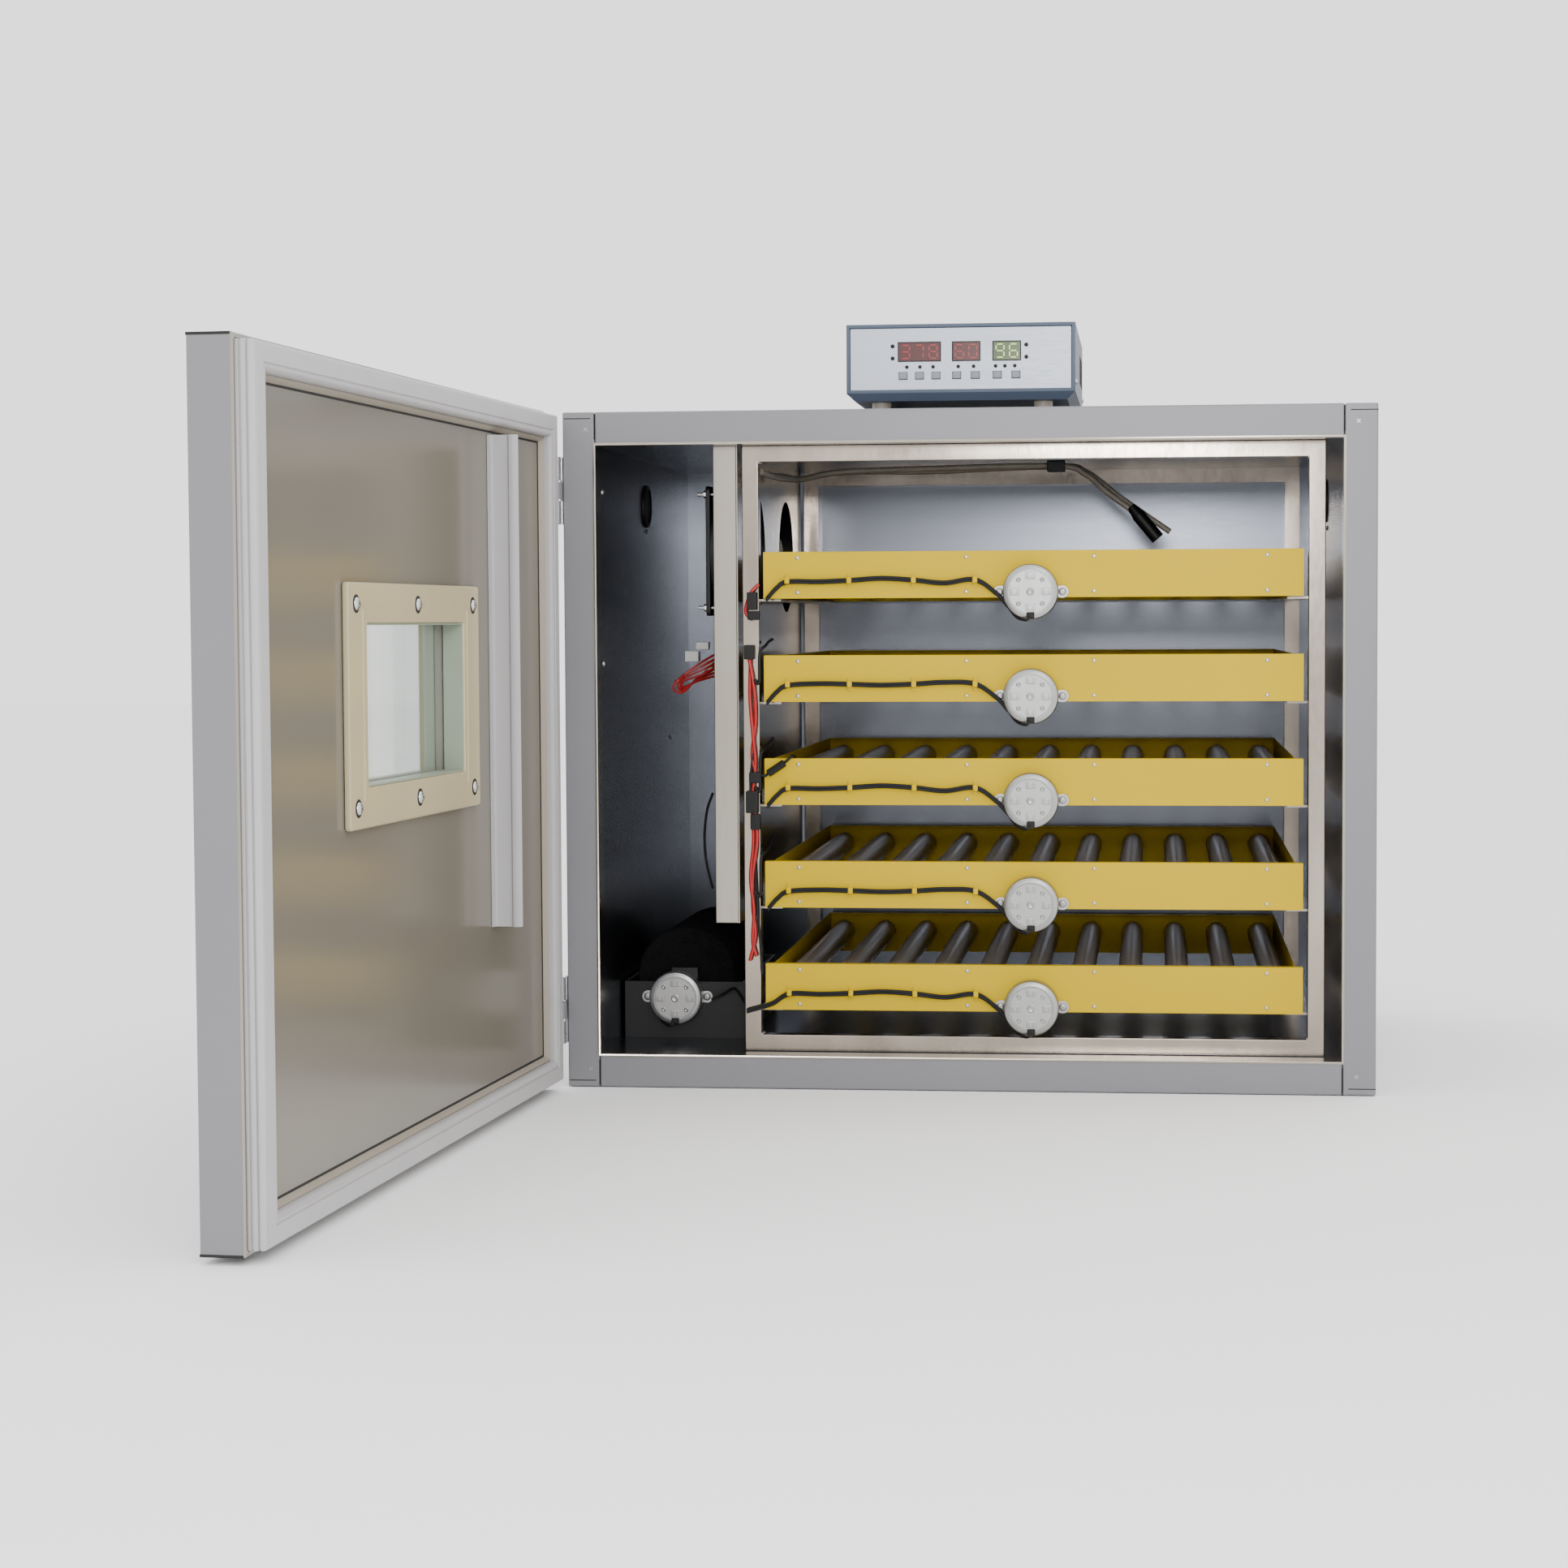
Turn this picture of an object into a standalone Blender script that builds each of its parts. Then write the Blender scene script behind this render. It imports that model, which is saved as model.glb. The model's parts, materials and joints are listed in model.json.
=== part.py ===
"""Egg incubator: an insulated cabinet with a glazed door, five roller trays and a controller.

Run with: blender --background --python part.py

The origin is at the centre of the cabinet's base. +X is to the right seen from the front, +Y points
to the back and +Z is up. All sizes below are millimetres; they turn into metres when a mesh is made.
"""

import math

import bmesh
import bpy
from mathutils import Matrix, Vector

MM = 0.001
GAP = 0.3                      # clearance between pieces that touch
CUT_MARGIN = 5                 # how far a cutter runs past the faces that it cuts

# Cabinet
WIDTH = 720
DEPTH = 540
HEIGHT = 606
WALL = 29                      # thickness of an insulated panel, and width of a front profile
FRONT = -DEPTH / 2
BACK = DEPTH / 2
INNER_X = WIDTH / 2 - WALL
FLOOR = WALL
CEILING = HEIGHT - WALL
PROFILE_DEPTH = 24
VENT_RADIUS = 19
VENT_Y = FRONT + 260
VENT_Z = CEILING - 45

# Rack of square tube that carries the trays
TUBE = 15
RACK_LEFT = -203
RACK_RIGHT = 317
RACK_FRONT = FRONT + 31
RACK_BACK = BACK - WALL - 1
RACK_BOTTOM = FLOOR + GAP
RACK_TOP = CEILING - GAP
RAIL_THICKNESS = 2
RAIL_WIDTH = 18                # how far a tray rail reaches past the tube
RAIL_ROOT = 4                  # how far a tray rail runs onto the tube

# Trays
TRAY_COUNT = 5
TRAY_PITCH = 93
TRAY_HEIGHT = 42
TOP_TRAY_RIM = 481
TRAY_SHEET = 2
TRAY_CLEARANCE = 4             # between a tray's front panel and the tubes beside it
TRAY_LEFT = RACK_LEFT + TUBE + TRAY_CLEARANCE
TRAY_RIGHT = RACK_RIGHT - TUBE - TRAY_CLEARANCE
TRAY_MIDDLE = (TRAY_LEFT + TRAY_RIGHT) / 2
TRAY_SIDE_INSET = 6.5          # the box is narrower than its front panel
TRAY_DEPTH = 465
TRAY_BACK = RACK_FRONT + TRAY_DEPTH
DRIVE_SPACE = 14               # behind the front panel, where the drive bar runs

# Rollers
ROLLER_COUNT = 11
ROLLER_PITCH = 43.5
ROLLER_RADIUS = 11
ROLLER_BELOW_RIM = 7
ROLLER_END_GAP = 4
PIN_RADIUS = 3
PIN_CLEARANCE = 0.6

# Tray motor and its lead
MOTOR_RADIUS = 24.7
MOTOR_DEPTH = 15
MOTOR_ABOVE_EDGE = 5
EAR_REACH = 33.5
EAR_RADIUS = 5.5
EAR_THICKNESS = 1.5
LEAD_RADIUS = 1.3
LEAD_STAND_OFF = 3.6           # from the front panel to the middle of the lead
SADDLE_X = (-162, -106, -48, 7)
SADDLE_BELOW_RIM = 26

# Air partition, fans and heater
PLATE_THICKNESS = 1.5
PLATE_LEFT = RACK_LEFT - 5.3
PARTITION_FRONT = FRONT + 29
PARTITION_BOTTOM = 146
FLANGE_WIDTH = 22
HEM_HEIGHT = 6
FAN_SIZE = 120
FAN_DEPTH = 38
FAN_BORE = 56
FAN_Z = 484
FAN_Y = (FRONT + 158, FRONT + 372)
FAN_HUB = 19
FAN_STRUT = 4
FAN_STRUT_ROOT = 8              # how far a strut runs into the housing
BLADE_COUNT = 7
BLADE_PITCH = 35
BLADE_ROOT = 4                  # how far a blade runs into the hub
BLADE_TIP_GAP = 3
BLADE_HALF_CHORD = 12
HEATER_RADIUS = 4
HEATER_OFF_PLATE = 16
HEATER_FRONT = PARTITION_FRONT + 45
HEATER_BACK = FRONT + 400
HEATER_TOP = FAN_Z - 110
HEATER_RUNS = 3
HEATER_STEP = 46
HEATER_BEND = 12                # where a run ends and its bend begins
HEATER_BULGE = 8                # how far a bend reaches past the run

# Humidifier
TANK_LEFT = -328
TANK_RIGHT = -214
TANK_FRONT = FRONT + 110
TANK_BACK = FRONT + 330
TANK_TOP = 82
TANK_WALL = 3
DRUM_RADIUS = 46
DRUM_X = -271
DRUM_Z = 86
DRUM_END_GAP = 9
DRUM_SHAFT = 4
CRADLE_HALF_WIDTH = 12
CRADLE_ABOVE_SHAFT = 9
HUMIDIFIER_MOTOR_X = -278
HUMIDIFIER_MOTOR_Z = 68

# Wiring loom and the sensor at its end
HARNESS_RADIUS = 3
HARNESS_ROUTE = (                # x, distance behind the cabinet's front, z
    (-196, 26.5, 112), (-195, 26.5, 180), (-197, 26.5, 250), (-194, 26.5, 320), (-195, 26.5, 385),
    (-191, 26, 405), (-184, 28, 415), (-180, 40, 420), (-183, 54, 422), (-194, 60, 426),
    (-199, 62, 438), (-199, 63, 480), (-199, 64, 525), (-198, 78, 549), (-197, 110, 556),
    (-196, 190, 557), (-195, 260, 557), (-184, 310, 561), (-145, 333, 571), (-60, 336, 573),
    (69, 336, 573), (108, 336, 565), (148, 336, 534), (184, 335, 496))
SENSOR_RADIUS = 6

# Controller on the roof
CONTROLLER_LEFT = -114
CONTROLLER_RIGHT = 95
CONTROLLER_FRONT = FRONT + 89
CONTROLLER_DEPTH = 255
CONTROLLER_TOP = 689
CONTROLLER_CHAMFER_TOP = 626
CONTROLLER_CHAMFER = 12
CONTROLLER_WALL = 3.5
FOOT_RADIUS = 8
BUTTON_X = (-62, -47, -32, -13, 4, 24, 41)
BUTTON_Z = 642
BUTTON_SIZE = (7.6, 6.4)
BUTTON_PROUD = 1.6
BUTTON_LENGTH = 6
PANEL_THICKNESS = 2.5

# Door, given as it stands when closed, then turned open about the hinge axis
HINGE_X = -WIDTH / 2 - 6
HINGE_Y = FRONT - 8
DOOR_OPEN_DEGREES = 94
DOOR_LEFT = -WIDTH / 2 + 2
DOOR_RIGHT = WIDTH / 2 - 2
DOOR_BOTTOM = 5
DOOR_TOP = 606
DOOR_INNER = FRONT - 16
DOOR_OUTER = DOOR_INNER - 30
GASKET_BAND = 21
GASKET_EDGE = 4                # from the edge of the door to the gasket
GASKET_FACE = FRONT - 0.5
LINER_INSET = GASKET_EDGE + GASKET_BAND + 1
LINER_THICKNESS = 3
WINDOW_X = 16
WINDOW_Z = 359
WINDOW_FRAME_SIZE = (306, 178)
WINDOW_SIZE = (228, 119)
WINDOW_FRAME_THICKNESS = 5
GLASS_THICKNESS = 12
GLASS_LAP = 8                  # how far the glazing reaches past the opening
STRIP_X = -186
STRIP_BOTTOM = 165
STRIP_TOP = 574
STRIP_REACH = 25
STRIP_WIDTH = 12
STRIP_BASE = 2
STRIP_FIN = 3
STRIP_BULB = 4
HANDLE_X = DOOR_RIGHT - 112
HANDLE_Z = WINDOW_Z - 40
HANDLE_LENGTH = 130
HANDLE_HALF_WIDTH = 10
HANDLE_REACH = 20
HANDLE_BAR = 6
HANDLE_FOOT_INSET = 9
HANDLE_FOOT = 8
PIN = 4                        # radius of a hinge pin
KNUCKLE = 7
KNUCKLE_HEIGHT = 16
HINGE_Z = (70, HEIGHT - 70)
LEAF_HALF_HEIGHT = 30
LEAF_DEPTH = 32
LEAF_THICKNESS = 2

SHAPES = None
PARTS = None


# ---------------------------------------------------------------------------------------------
# Scene, materials and shape helpers

def clear_scene():
    for item in list(bpy.data.objects):
        bpy.data.objects.remove(item, do_unlink=True)


def add_collection(name):
    collection = bpy.data.collections.new(name)
    bpy.context.scene.collection.children.link(collection)
    return collection


def make_material(name, colour, roughness, metallic=0.0, transmission=0.0):
    material = bpy.data.materials.new(name)
    material.use_nodes = True
    shader = material.node_tree.nodes["Principled BSDF"]
    shader.inputs["Base Color"].default_value = (*colour, 1.0)
    shader.inputs["Roughness"].default_value = roughness
    shader.inputs["Metallic"].default_value = metallic
    shader.inputs["Transmission Weight"].default_value = transmission
    return material


def shape_from_bmesh(build):
    """A loose shape whose mesh is made by build(bm)."""
    bm = bmesh.new()
    build(bm)
    mesh = bpy.data.meshes.new("shape")
    bm.to_mesh(mesh)
    bm.free()
    shape = bpy.data.objects.new("shape", mesh)
    SHAPES.objects.link(shape)
    return shape


def box(low, high):
    """A box between two opposite corners."""
    size = (Vector(high) - Vector(low)) * MM
    middle = (Vector(high) + Vector(low)) / 2 * MM
    matrix = Matrix.Translation(middle) @ Matrix.Diagonal((*size, 1.0))
    return shape_from_bmesh(lambda bm: bmesh.ops.create_cube(bm, size=1.0, matrix=matrix))


AXIS_TURN = {
    "X": Matrix.Rotation(math.pi / 2, 4, "Y"),
    "Y": Matrix.Rotation(-math.pi / 2, 4, "X"),
    "Z": Matrix.Identity(4),
}


def rod(axis, start, length, radius, sides=24, end_radius=None):
    """A round bar or cone that runs from start along +axis."""
    end_radius = radius if end_radius is None else end_radius
    turn = AXIS_TURN[axis]
    middle = Matrix.Translation(Vector((0, 0, length / 2 * MM)))
    matrix = Matrix.Translation(Vector(start) * MM) @ turn @ middle
    return shape_from_bmesh(lambda bm: bmesh.ops.create_cone(
        bm, cap_ends=True, segments=sides, radius1=radius * MM, radius2=end_radius * MM,
        depth=length * MM, matrix=matrix))


def smooth_route(points, spacing):
    """Points at an even spacing along a smooth curve through the given points."""
    ends = [2 * Vector(points[0]) - Vector(points[1]), 2 * Vector(points[-1]) - Vector(points[-2])]
    knots = [ends[0]] + [Vector(point) for point in points] + [ends[1]]
    fine = []
    for before, start, end, after in zip(knots, knots[1:], knots[2:], knots[3:]):
        for step in range(20):
            t = step / 20
            fine.append(0.5 * (2 * start + (end - before) * t
                               + (2 * before - 5 * start + 4 * end - after) * t ** 2
                               + (3 * start - before - 3 * end + after) * t ** 3))
    fine.append(Vector(points[-1]))
    length = sum((b - a).length for a, b in zip(fine, fine[1:]))
    count = max(2, round(length / spacing))
    route = [fine[0]]
    walked = 0.0
    for a, b in zip(fine, fine[1:]):
        step = (b - a).length
        while len(route) < count and walked + step >= length * len(route) / count:
            route.append(a.lerp(b, (length * len(route) / count - walked) / step))
        walked += step
    route.append(fine[-1])
    return route


def tube(points, radius):
    """A round tube with closed ends along a row of points, as a mesh."""
    curve = bpy.data.curves.new("tube", "CURVE")
    curve.dimensions = "3D"
    curve.bevel_depth = radius * MM
    curve.bevel_resolution = 2
    curve.use_fill_caps = True
    spline = curve.splines.new("POLY")
    spline.points.add(len(points) - 1)
    for target, point in zip(spline.points, points):
        target.co = (*(Vector(point) * MM), 1.0)
    guide = bpy.data.objects.new("tube", curve)
    SHAPES.objects.link(guide)
    graph = bpy.context.evaluated_depsgraph_get()
    mesh = bpy.data.meshes.new_from_object(guide.evaluated_get(graph))
    bm = bmesh.new()
    bm.from_mesh(mesh)
    bmesh.ops.remove_doubles(bm, verts=bm.verts, dist=0.00001)
    bm.to_mesh(mesh)
    bm.free()
    shape = bpy.data.objects.new("shape", mesh)
    shape.matrix_world = guide.matrix_world
    SHAPES.objects.link(shape)
    bpy.data.objects.remove(guide, do_unlink=True)
    return shape


def combine(base, tool, operation):
    """Apply one Boolean to base and remove the tool."""
    modifier = base.modifiers.new(operation, "BOOLEAN")
    modifier.operation = operation
    modifier.solver = "EXACT"
    modifier.object = tool
    graph = bpy.context.evaluated_depsgraph_get()
    mesh = bpy.data.meshes.new_from_object(base.evaluated_get(graph))
    base.modifiers.clear()
    base.data = mesh
    bpy.data.objects.remove(tool, do_unlink=True)
    return base


def join(base, *others):
    for other in others:
        combine(base, other, "UNION")
    return base


def cut(base, *cutters):
    for cutter in cutters:
        combine(base, cutter, "DIFFERENCE")
    return base


def turn_shape(shape, degrees, axis, about):
    """Turn a loose shape's mesh about a point."""
    centre = Matrix.Translation(Vector(about) * MM)
    turn = Matrix.Rotation(math.radians(degrees), 4, axis)
    shape.data.transform(centre @ turn @ centre.inverted())
    return shape


def add_pivot(name, place, parent=None):
    """An empty on a joint's axis."""
    pivot = bpy.data.objects.new(name, None)
    pivot.location = Vector(place) * MM
    if parent is not None:
        pivot.parent = parent
        pivot.location -= parent.location
    PARTS.objects.link(pivot)
    return pivot


def place(shape, name, material, pivot=None, smooth=False):
    """Turn a loose shape into a named part, with its origin on its pivot or at its middle."""
    corners = [Vector(corner) for corner in shape.bound_box]
    origin = sum(corners, Vector()) / len(corners)
    if pivot is not None:
        origin = pivot.location.copy()
        if pivot.parent is not None:
            origin += pivot.parent.location
    shape.data.transform(Matrix.Translation(-origin))
    shape.data.materials.clear()
    shape.data.materials.append(material)
    shape.data.name = name
    part = bpy.data.objects.new(name, shape.data)
    PARTS.objects.link(part)
    if pivot is None:
        part.location = origin
    else:
        part.parent = pivot
    if smooth:
        part.data.shade_smooth()
        part.data.set_sharp_from_angle(angle=math.radians(35))
    bpy.data.objects.remove(shape, do_unlink=True)
    return part


# ---------------------------------------------------------------------------------------------
# Cabinet

def make_cabinet(steel):
    panel_front = FRONT + PROFILE_DEPTH + GAP
    half = WIDTH / 2
    for name, low, high in (("wall_top", CEILING, HEIGHT), ("wall_bottom", 0, FLOOR)):
        place(box((-half, panel_front, low), (half, BACK, high)), name, steel)
    for name, side in (("wall_left", -1), ("wall_right", 1)):
        inner, outer = sorted((side * INNER_X, side * half))
        wall = box((inner, panel_front, FLOOR + GAP), (outer, BACK, CEILING - GAP))
        hole_start = (inner - CUT_MARGIN, VENT_Y, VENT_Z)
        place(cut(wall, rod("X", hole_start, WALL + 2 * CUT_MARGIN, VENT_RADIUS)), name, steel)
    place(box((-INNER_X + GAP, BACK - WALL, FLOOR + GAP),
              (INNER_X - GAP, BACK, CEILING - GAP)), "wall_back", steel)


def make_front_profiles(steel):
    half = WIDTH / 2
    back = FRONT + PROFILE_DEPTH
    place(box((-half, FRONT, 0), (-INNER_X, back, HEIGHT)), "front_post_left", steel)
    place(box((INNER_X, FRONT, 0), (half, back, HEIGHT)), "front_post_right", steel)
    for name, low, high in (("front_rail_top", CEILING, HEIGHT), ("front_rail_bottom", 0, FLOOR)):
        place(box((-INNER_X + GAP, FRONT, low), (INNER_X - GAP, back, high)), name, steel)


# ---------------------------------------------------------------------------------------------
# Rack

def tube_frame(front):
    """A rectangle of square tube that stands across the cabinet."""
    outside = box((RACK_LEFT, front, RACK_BOTTOM), (RACK_RIGHT, front + TUBE, RACK_TOP))
    inside = box((RACK_LEFT + TUBE, front - CUT_MARGIN, RACK_BOTTOM + TUBE),
                 (RACK_RIGHT - TUBE, front + TUBE + CUT_MARGIN, RACK_TOP - TUBE))
    return cut(outside, inside)


def tray_rim(number):
    """Height of the rim of tray 1, the top one, to tray 5."""
    return TOP_TRAY_RIM - (number - 1) * TRAY_PITCH


def make_rack(stainless):
    place(tube_frame(RACK_FRONT), "rack_front_frame", stainless)
    rear = tube_frame(RACK_BACK - TUBE)
    rail_front = RACK_FRONT + TUBE + GAP
    rail_back = RACK_BACK - 2
    for number in range(1, TRAY_COUNT + 1):
        top = tray_rim(number) - TRAY_HEIGHT - GAP
        for start, end in ((RACK_LEFT + TUBE - RAIL_ROOT, RACK_LEFT + TUBE + RAIL_WIDTH),
                           (RACK_RIGHT - TUBE - RAIL_WIDTH, RACK_RIGHT - TUBE + RAIL_ROOT)):
            join(rear, box((start, rail_front, top - RAIL_THICKNESS), (end, rail_back, top)))
    place(rear, "rack_rear_frame", stainless)


# ---------------------------------------------------------------------------------------------
# Trays, rollers and tray motors

def roller_x(index):
    return TRAY_MIDDLE + (index - (ROLLER_COUNT - 1) / 2) * ROLLER_PITCH


def roller_z(rim):
    return rim - ROLLER_BELOW_RIM - ROLLER_RADIUS


def roller(index, rim):
    """A roller with a pin at each end, its pins in the bearing bar and in the rear wall."""
    bar_back = RACK_FRONT + DRIVE_SPACE + TRAY_SHEET
    front = bar_back + ROLLER_END_GAP
    back = TRAY_BACK - TRAY_SHEET - ROLLER_END_GAP
    centre = (roller_x(index), front, roller_z(rim))
    body = rod("Y", centre, back - front, ROLLER_RADIUS, 12)
    pin_front = bar_back - TRAY_SHEET / 2
    pin_back = TRAY_BACK - TRAY_SHEET / 2
    pin = rod("Y", (centre[0], pin_front, centre[2]), pin_back - pin_front, PIN_RADIUS, 6)
    return join(body, pin)


def fixed_roller(index, rim):
    """A roller that runs straight into the bearing bar and the rear wall."""
    start = RACK_FRONT + DRIVE_SPACE + TRAY_SHEET / 2
    length = TRAY_BACK - TRAY_SHEET / 2 - start
    return rod("Y", (roller_x(index), start, roller_z(rim)), length, ROLLER_RADIUS, 10)


def tray_box(rim):
    """The tray without rollers: a wide front panel, a box with no bottom and a bearing bar."""
    bottom = rim - TRAY_HEIGHT
    left = TRAY_LEFT + TRAY_SIDE_INSET
    right = TRAY_RIGHT - TRAY_SIDE_INSET
    panel = box((TRAY_LEFT, RACK_FRONT, bottom), (TRAY_RIGHT, RACK_FRONT + TRAY_SHEET, rim))
    outside = box((left, RACK_FRONT + TRAY_SHEET / 2, bottom + GAP), (right, TRAY_BACK, rim - GAP))
    for start, end in ((RACK_FRONT + 2 * TRAY_SHEET, RACK_FRONT + DRIVE_SPACE),
                       (RACK_FRONT + DRIVE_SPACE + TRAY_SHEET, TRAY_BACK - TRAY_SHEET)):
        cut(outside, box((left + TRAY_SHEET, start, bottom - CUT_MARGIN),
                         (right - TRAY_SHEET, end, rim + CUT_MARGIN)))
    return join(panel, outside)


def make_tray(number, paint, pivot):
    """Tray 1 has holes for its loose rollers; in the other trays the rollers are part of the box."""
    rim = tray_rim(number)
    tray = tray_box(rim)
    for index in range(ROLLER_COUNT):
        if number > 1:
            join(tray, fixed_roller(index, rim))
            continue
        for wall in (RACK_FRONT + DRIVE_SPACE, TRAY_BACK - TRAY_SHEET):
            start = (roller_x(index), wall - 1, roller_z(rim))
            cut(tray, rod("Y", start, TRAY_SHEET + 2, PIN_RADIUS + PIN_CLEARANCE, 6))
    place(tray, f"tray_{number}", paint, pivot)


def synchronous_motor(x, front_of, z):
    """A flat round gear motor with two ears, its back against the plane y = front_of."""
    back = front_of - GAP
    body = rod("Y", (x, back - MOTOR_DEPTH, z), MOTOR_DEPTH, MOTOR_RADIUS, 24)
    strap = EAR_REACH - EAR_RADIUS
    strap_half = EAR_RADIUS - 1
    ears = box((x - strap, back - EAR_THICKNESS + 0.2, z - strap_half),
               (x + strap, back - 0.2, z + strap_half))
    for side in (-1, 1):
        start = (x + side * strap, back - EAR_THICKNESS, z)
        join(ears, rod("Y", start, EAR_THICKNESS - 0.1, EAR_RADIUS, 8))
    return join(body, ears)


def lead_points(rim, number):
    """The lead runs from the motor through four saddles, and down past the panel's left end."""
    y = RACK_FRONT - LEAD_STAND_OFF
    bottom = rim - TRAY_HEIGHT
    points = [(TRAY_MIDDLE - MOTOR_RADIUS + 6, y, bottom + MOTOR_ABOVE_EDGE - 4),
              (TRAY_MIDDLE - MOTOR_RADIUS - 8, y - 1, bottom + MOTOR_ABOVE_EDGE + 1)]
    sag = 2.5 if number % 2 else -1.5
    saddle_z = rim - SADDLE_BELOW_RIM
    for right, left in zip(SADDLE_X[::-1], SADDLE_X[-2::-1]):
        points.append((right, y, saddle_z))
        points.append(((right + left) / 2, y, saddle_z - sag))
        sag = -sag * 0.6
    points.append((SADDLE_X[0], y, saddle_z - 2))
    if number == TRAY_COUNT:
        points.append((TRAY_LEFT, y, bottom + 3))
        points.append((RACK_LEFT + 2, y, bottom - 1))
    else:
        points.append((SADDLE_X[0] - 12, y, bottom + 7))
        points.append((TRAY_LEFT + 3, y, bottom - 1))
    return points


def make_tray_motor(number, metal, pivot):
    rim = tray_rim(number)
    motor = synchronous_motor(TRAY_MIDDLE, RACK_FRONT, rim - TRAY_HEIGHT + MOTOR_ABOVE_EDGE)
    lead = tube(smooth_route(lead_points(rim, number), 12), LEAD_RADIUS)
    place(join(motor, lead), f"tray_{number}_motor", metal, pivot, smooth=True)


def make_trays(paint, metal, plastic):
    for number in range(1, TRAY_COUNT + 1):
        rim = tray_rim(number)
        pivot = add_pivot(f"tray_{number}_slide", (TRAY_MIDDLE, RACK_FRONT, rim))
        make_tray(number, paint, pivot)
        make_tray_motor(number, metal, pivot)
        if number > 1:
            continue
        for index in range(ROLLER_COUNT):
            axle = add_pivot(f"roller_axle_{index + 1:02d}", (roller_x(index), 0, roller_z(rim)), pivot)
            place(roller(index, rim), f"tray_1_roller_{index + 1:02d}", plastic, axle, smooth=True)


# ---------------------------------------------------------------------------------------------
# Air partition, fans and heater

def make_partition(stainless):
    plate_right = PLATE_LEFT + PLATE_THICKNESS
    plate = box((PLATE_LEFT, PARTITION_FRONT, PARTITION_BOTTOM),
                (plate_right, RACK_BACK - TUBE, CEILING - GAP))
    flange = box((plate_right - FLANGE_WIDTH, PARTITION_FRONT, PARTITION_BOTTOM),
                 (plate_right, PARTITION_FRONT + PLATE_THICKNESS, CEILING - GAP))
    hem = box((plate_right - FLANGE_WIDTH, PARTITION_FRONT, PARTITION_BOTTOM),
              (plate_right, PARTITION_FRONT + 2 * PLATE_THICKNESS, PARTITION_BOTTOM + HEM_HEIGHT))
    join(plate, flange, hem)
    for y in FAN_Y:
        start = (PLATE_LEFT - CUT_MARGIN, y, FAN_Z)
        cut(plate, rod("X", start, PLATE_THICKNESS + 2 * CUT_MARGIN, FAN_BORE, 32))
    place(plate, "air_partition", stainless)


def make_fan(name, y, plastic):
    """An axial fan on the partition's left side: a square housing and a seven-blade impeller."""
    right = PLATE_LEFT - GAP
    left = right - FAN_DEPTH
    half = FAN_SIZE / 2
    housing = box((left, y - half, FAN_Z - half), (right, y + half, FAN_Z + half))
    cut(housing, rod("X", (left - CUT_MARGIN, y, FAN_Z), FAN_DEPTH + 2 * CUT_MARGIN, FAN_BORE, 32))
    arm_reach = FAN_BORE + FAN_STRUT_ROOT
    for corner in range(2):
        arm = box((left + 1, y - arm_reach, FAN_Z - FAN_STRUT / 2),
                  (left + 1 + FAN_STRUT, y + arm_reach, FAN_Z + FAN_STRUT / 2))
        join(housing, turn_shape(arm, 45 + 90 * corner, "X", (left, y, FAN_Z)))
    join(housing, rod("X", (left + 0.5, y, FAN_Z), FAN_STRUT + 1, FAN_HUB + 2, 24))
    place(housing, f"fan_{name}_housing", plastic, smooth=True)

    axle = add_pivot(f"fan_{name}_axle", (0, y, FAN_Z))
    hub_left = left + FAN_STRUT + 2.5
    hub = rod("X", (hub_left, y, FAN_Z), right - 3 - hub_left, FAN_HUB, 24)
    blade_reach = FAN_BORE - BLADE_TIP_GAP
    centre = (hub_left + BLADE_HALF_CHORD + 2, y, FAN_Z)
    for index in range(BLADE_COUNT):
        blade = box((centre[0] - BLADE_HALF_CHORD, y - 1, FAN_Z + FAN_HUB - BLADE_ROOT),
                    (centre[0] + BLADE_HALF_CHORD, y + 1, FAN_Z + blade_reach))
        turn_shape(blade, BLADE_PITCH, "Z", centre)
        join(hub, turn_shape(blade, 360 / BLADE_COUNT * index, "X", centre))
    place(hub, f"fan_{name}_impeller", plastic, axle, smooth=True)


def make_heater(metal):
    """A tubular element bent into three runs, between the fans and the bottom of the partition."""
    x = PLATE_LEFT - HEATER_OFF_PLATE
    middle = (HEATER_FRONT + HEATER_BACK) / 2
    points = [(x + 4, HEATER_FRONT - HEATER_BEND, HEATER_TOP + 5)]
    for run in range(HEATER_RUNS):
        z = HEATER_TOP - run * HEATER_STEP
        ends = (HEATER_FRONT + HEATER_BEND, HEATER_BACK - HEATER_BEND)
        outer = HEATER_BACK + HEATER_BULGE
        if run % 2 == 1:
            ends = ends[::-1]
            outer = HEATER_FRONT - HEATER_BULGE
        points += [(x, ends[0], z), (x, middle, z), (x, ends[1], z)]
        if run < HEATER_RUNS - 1:
            points.append((x, outer, z - HEATER_STEP / 2))
    points.append((x, HEATER_BACK + 6, HEATER_TOP - (HEATER_RUNS - 1) * HEATER_STEP + 2))
    place(tube(smooth_route(points, 30), HEATER_RADIUS), "heater_element", metal, smooth=True)


# ---------------------------------------------------------------------------------------------
# Humidifier

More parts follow.
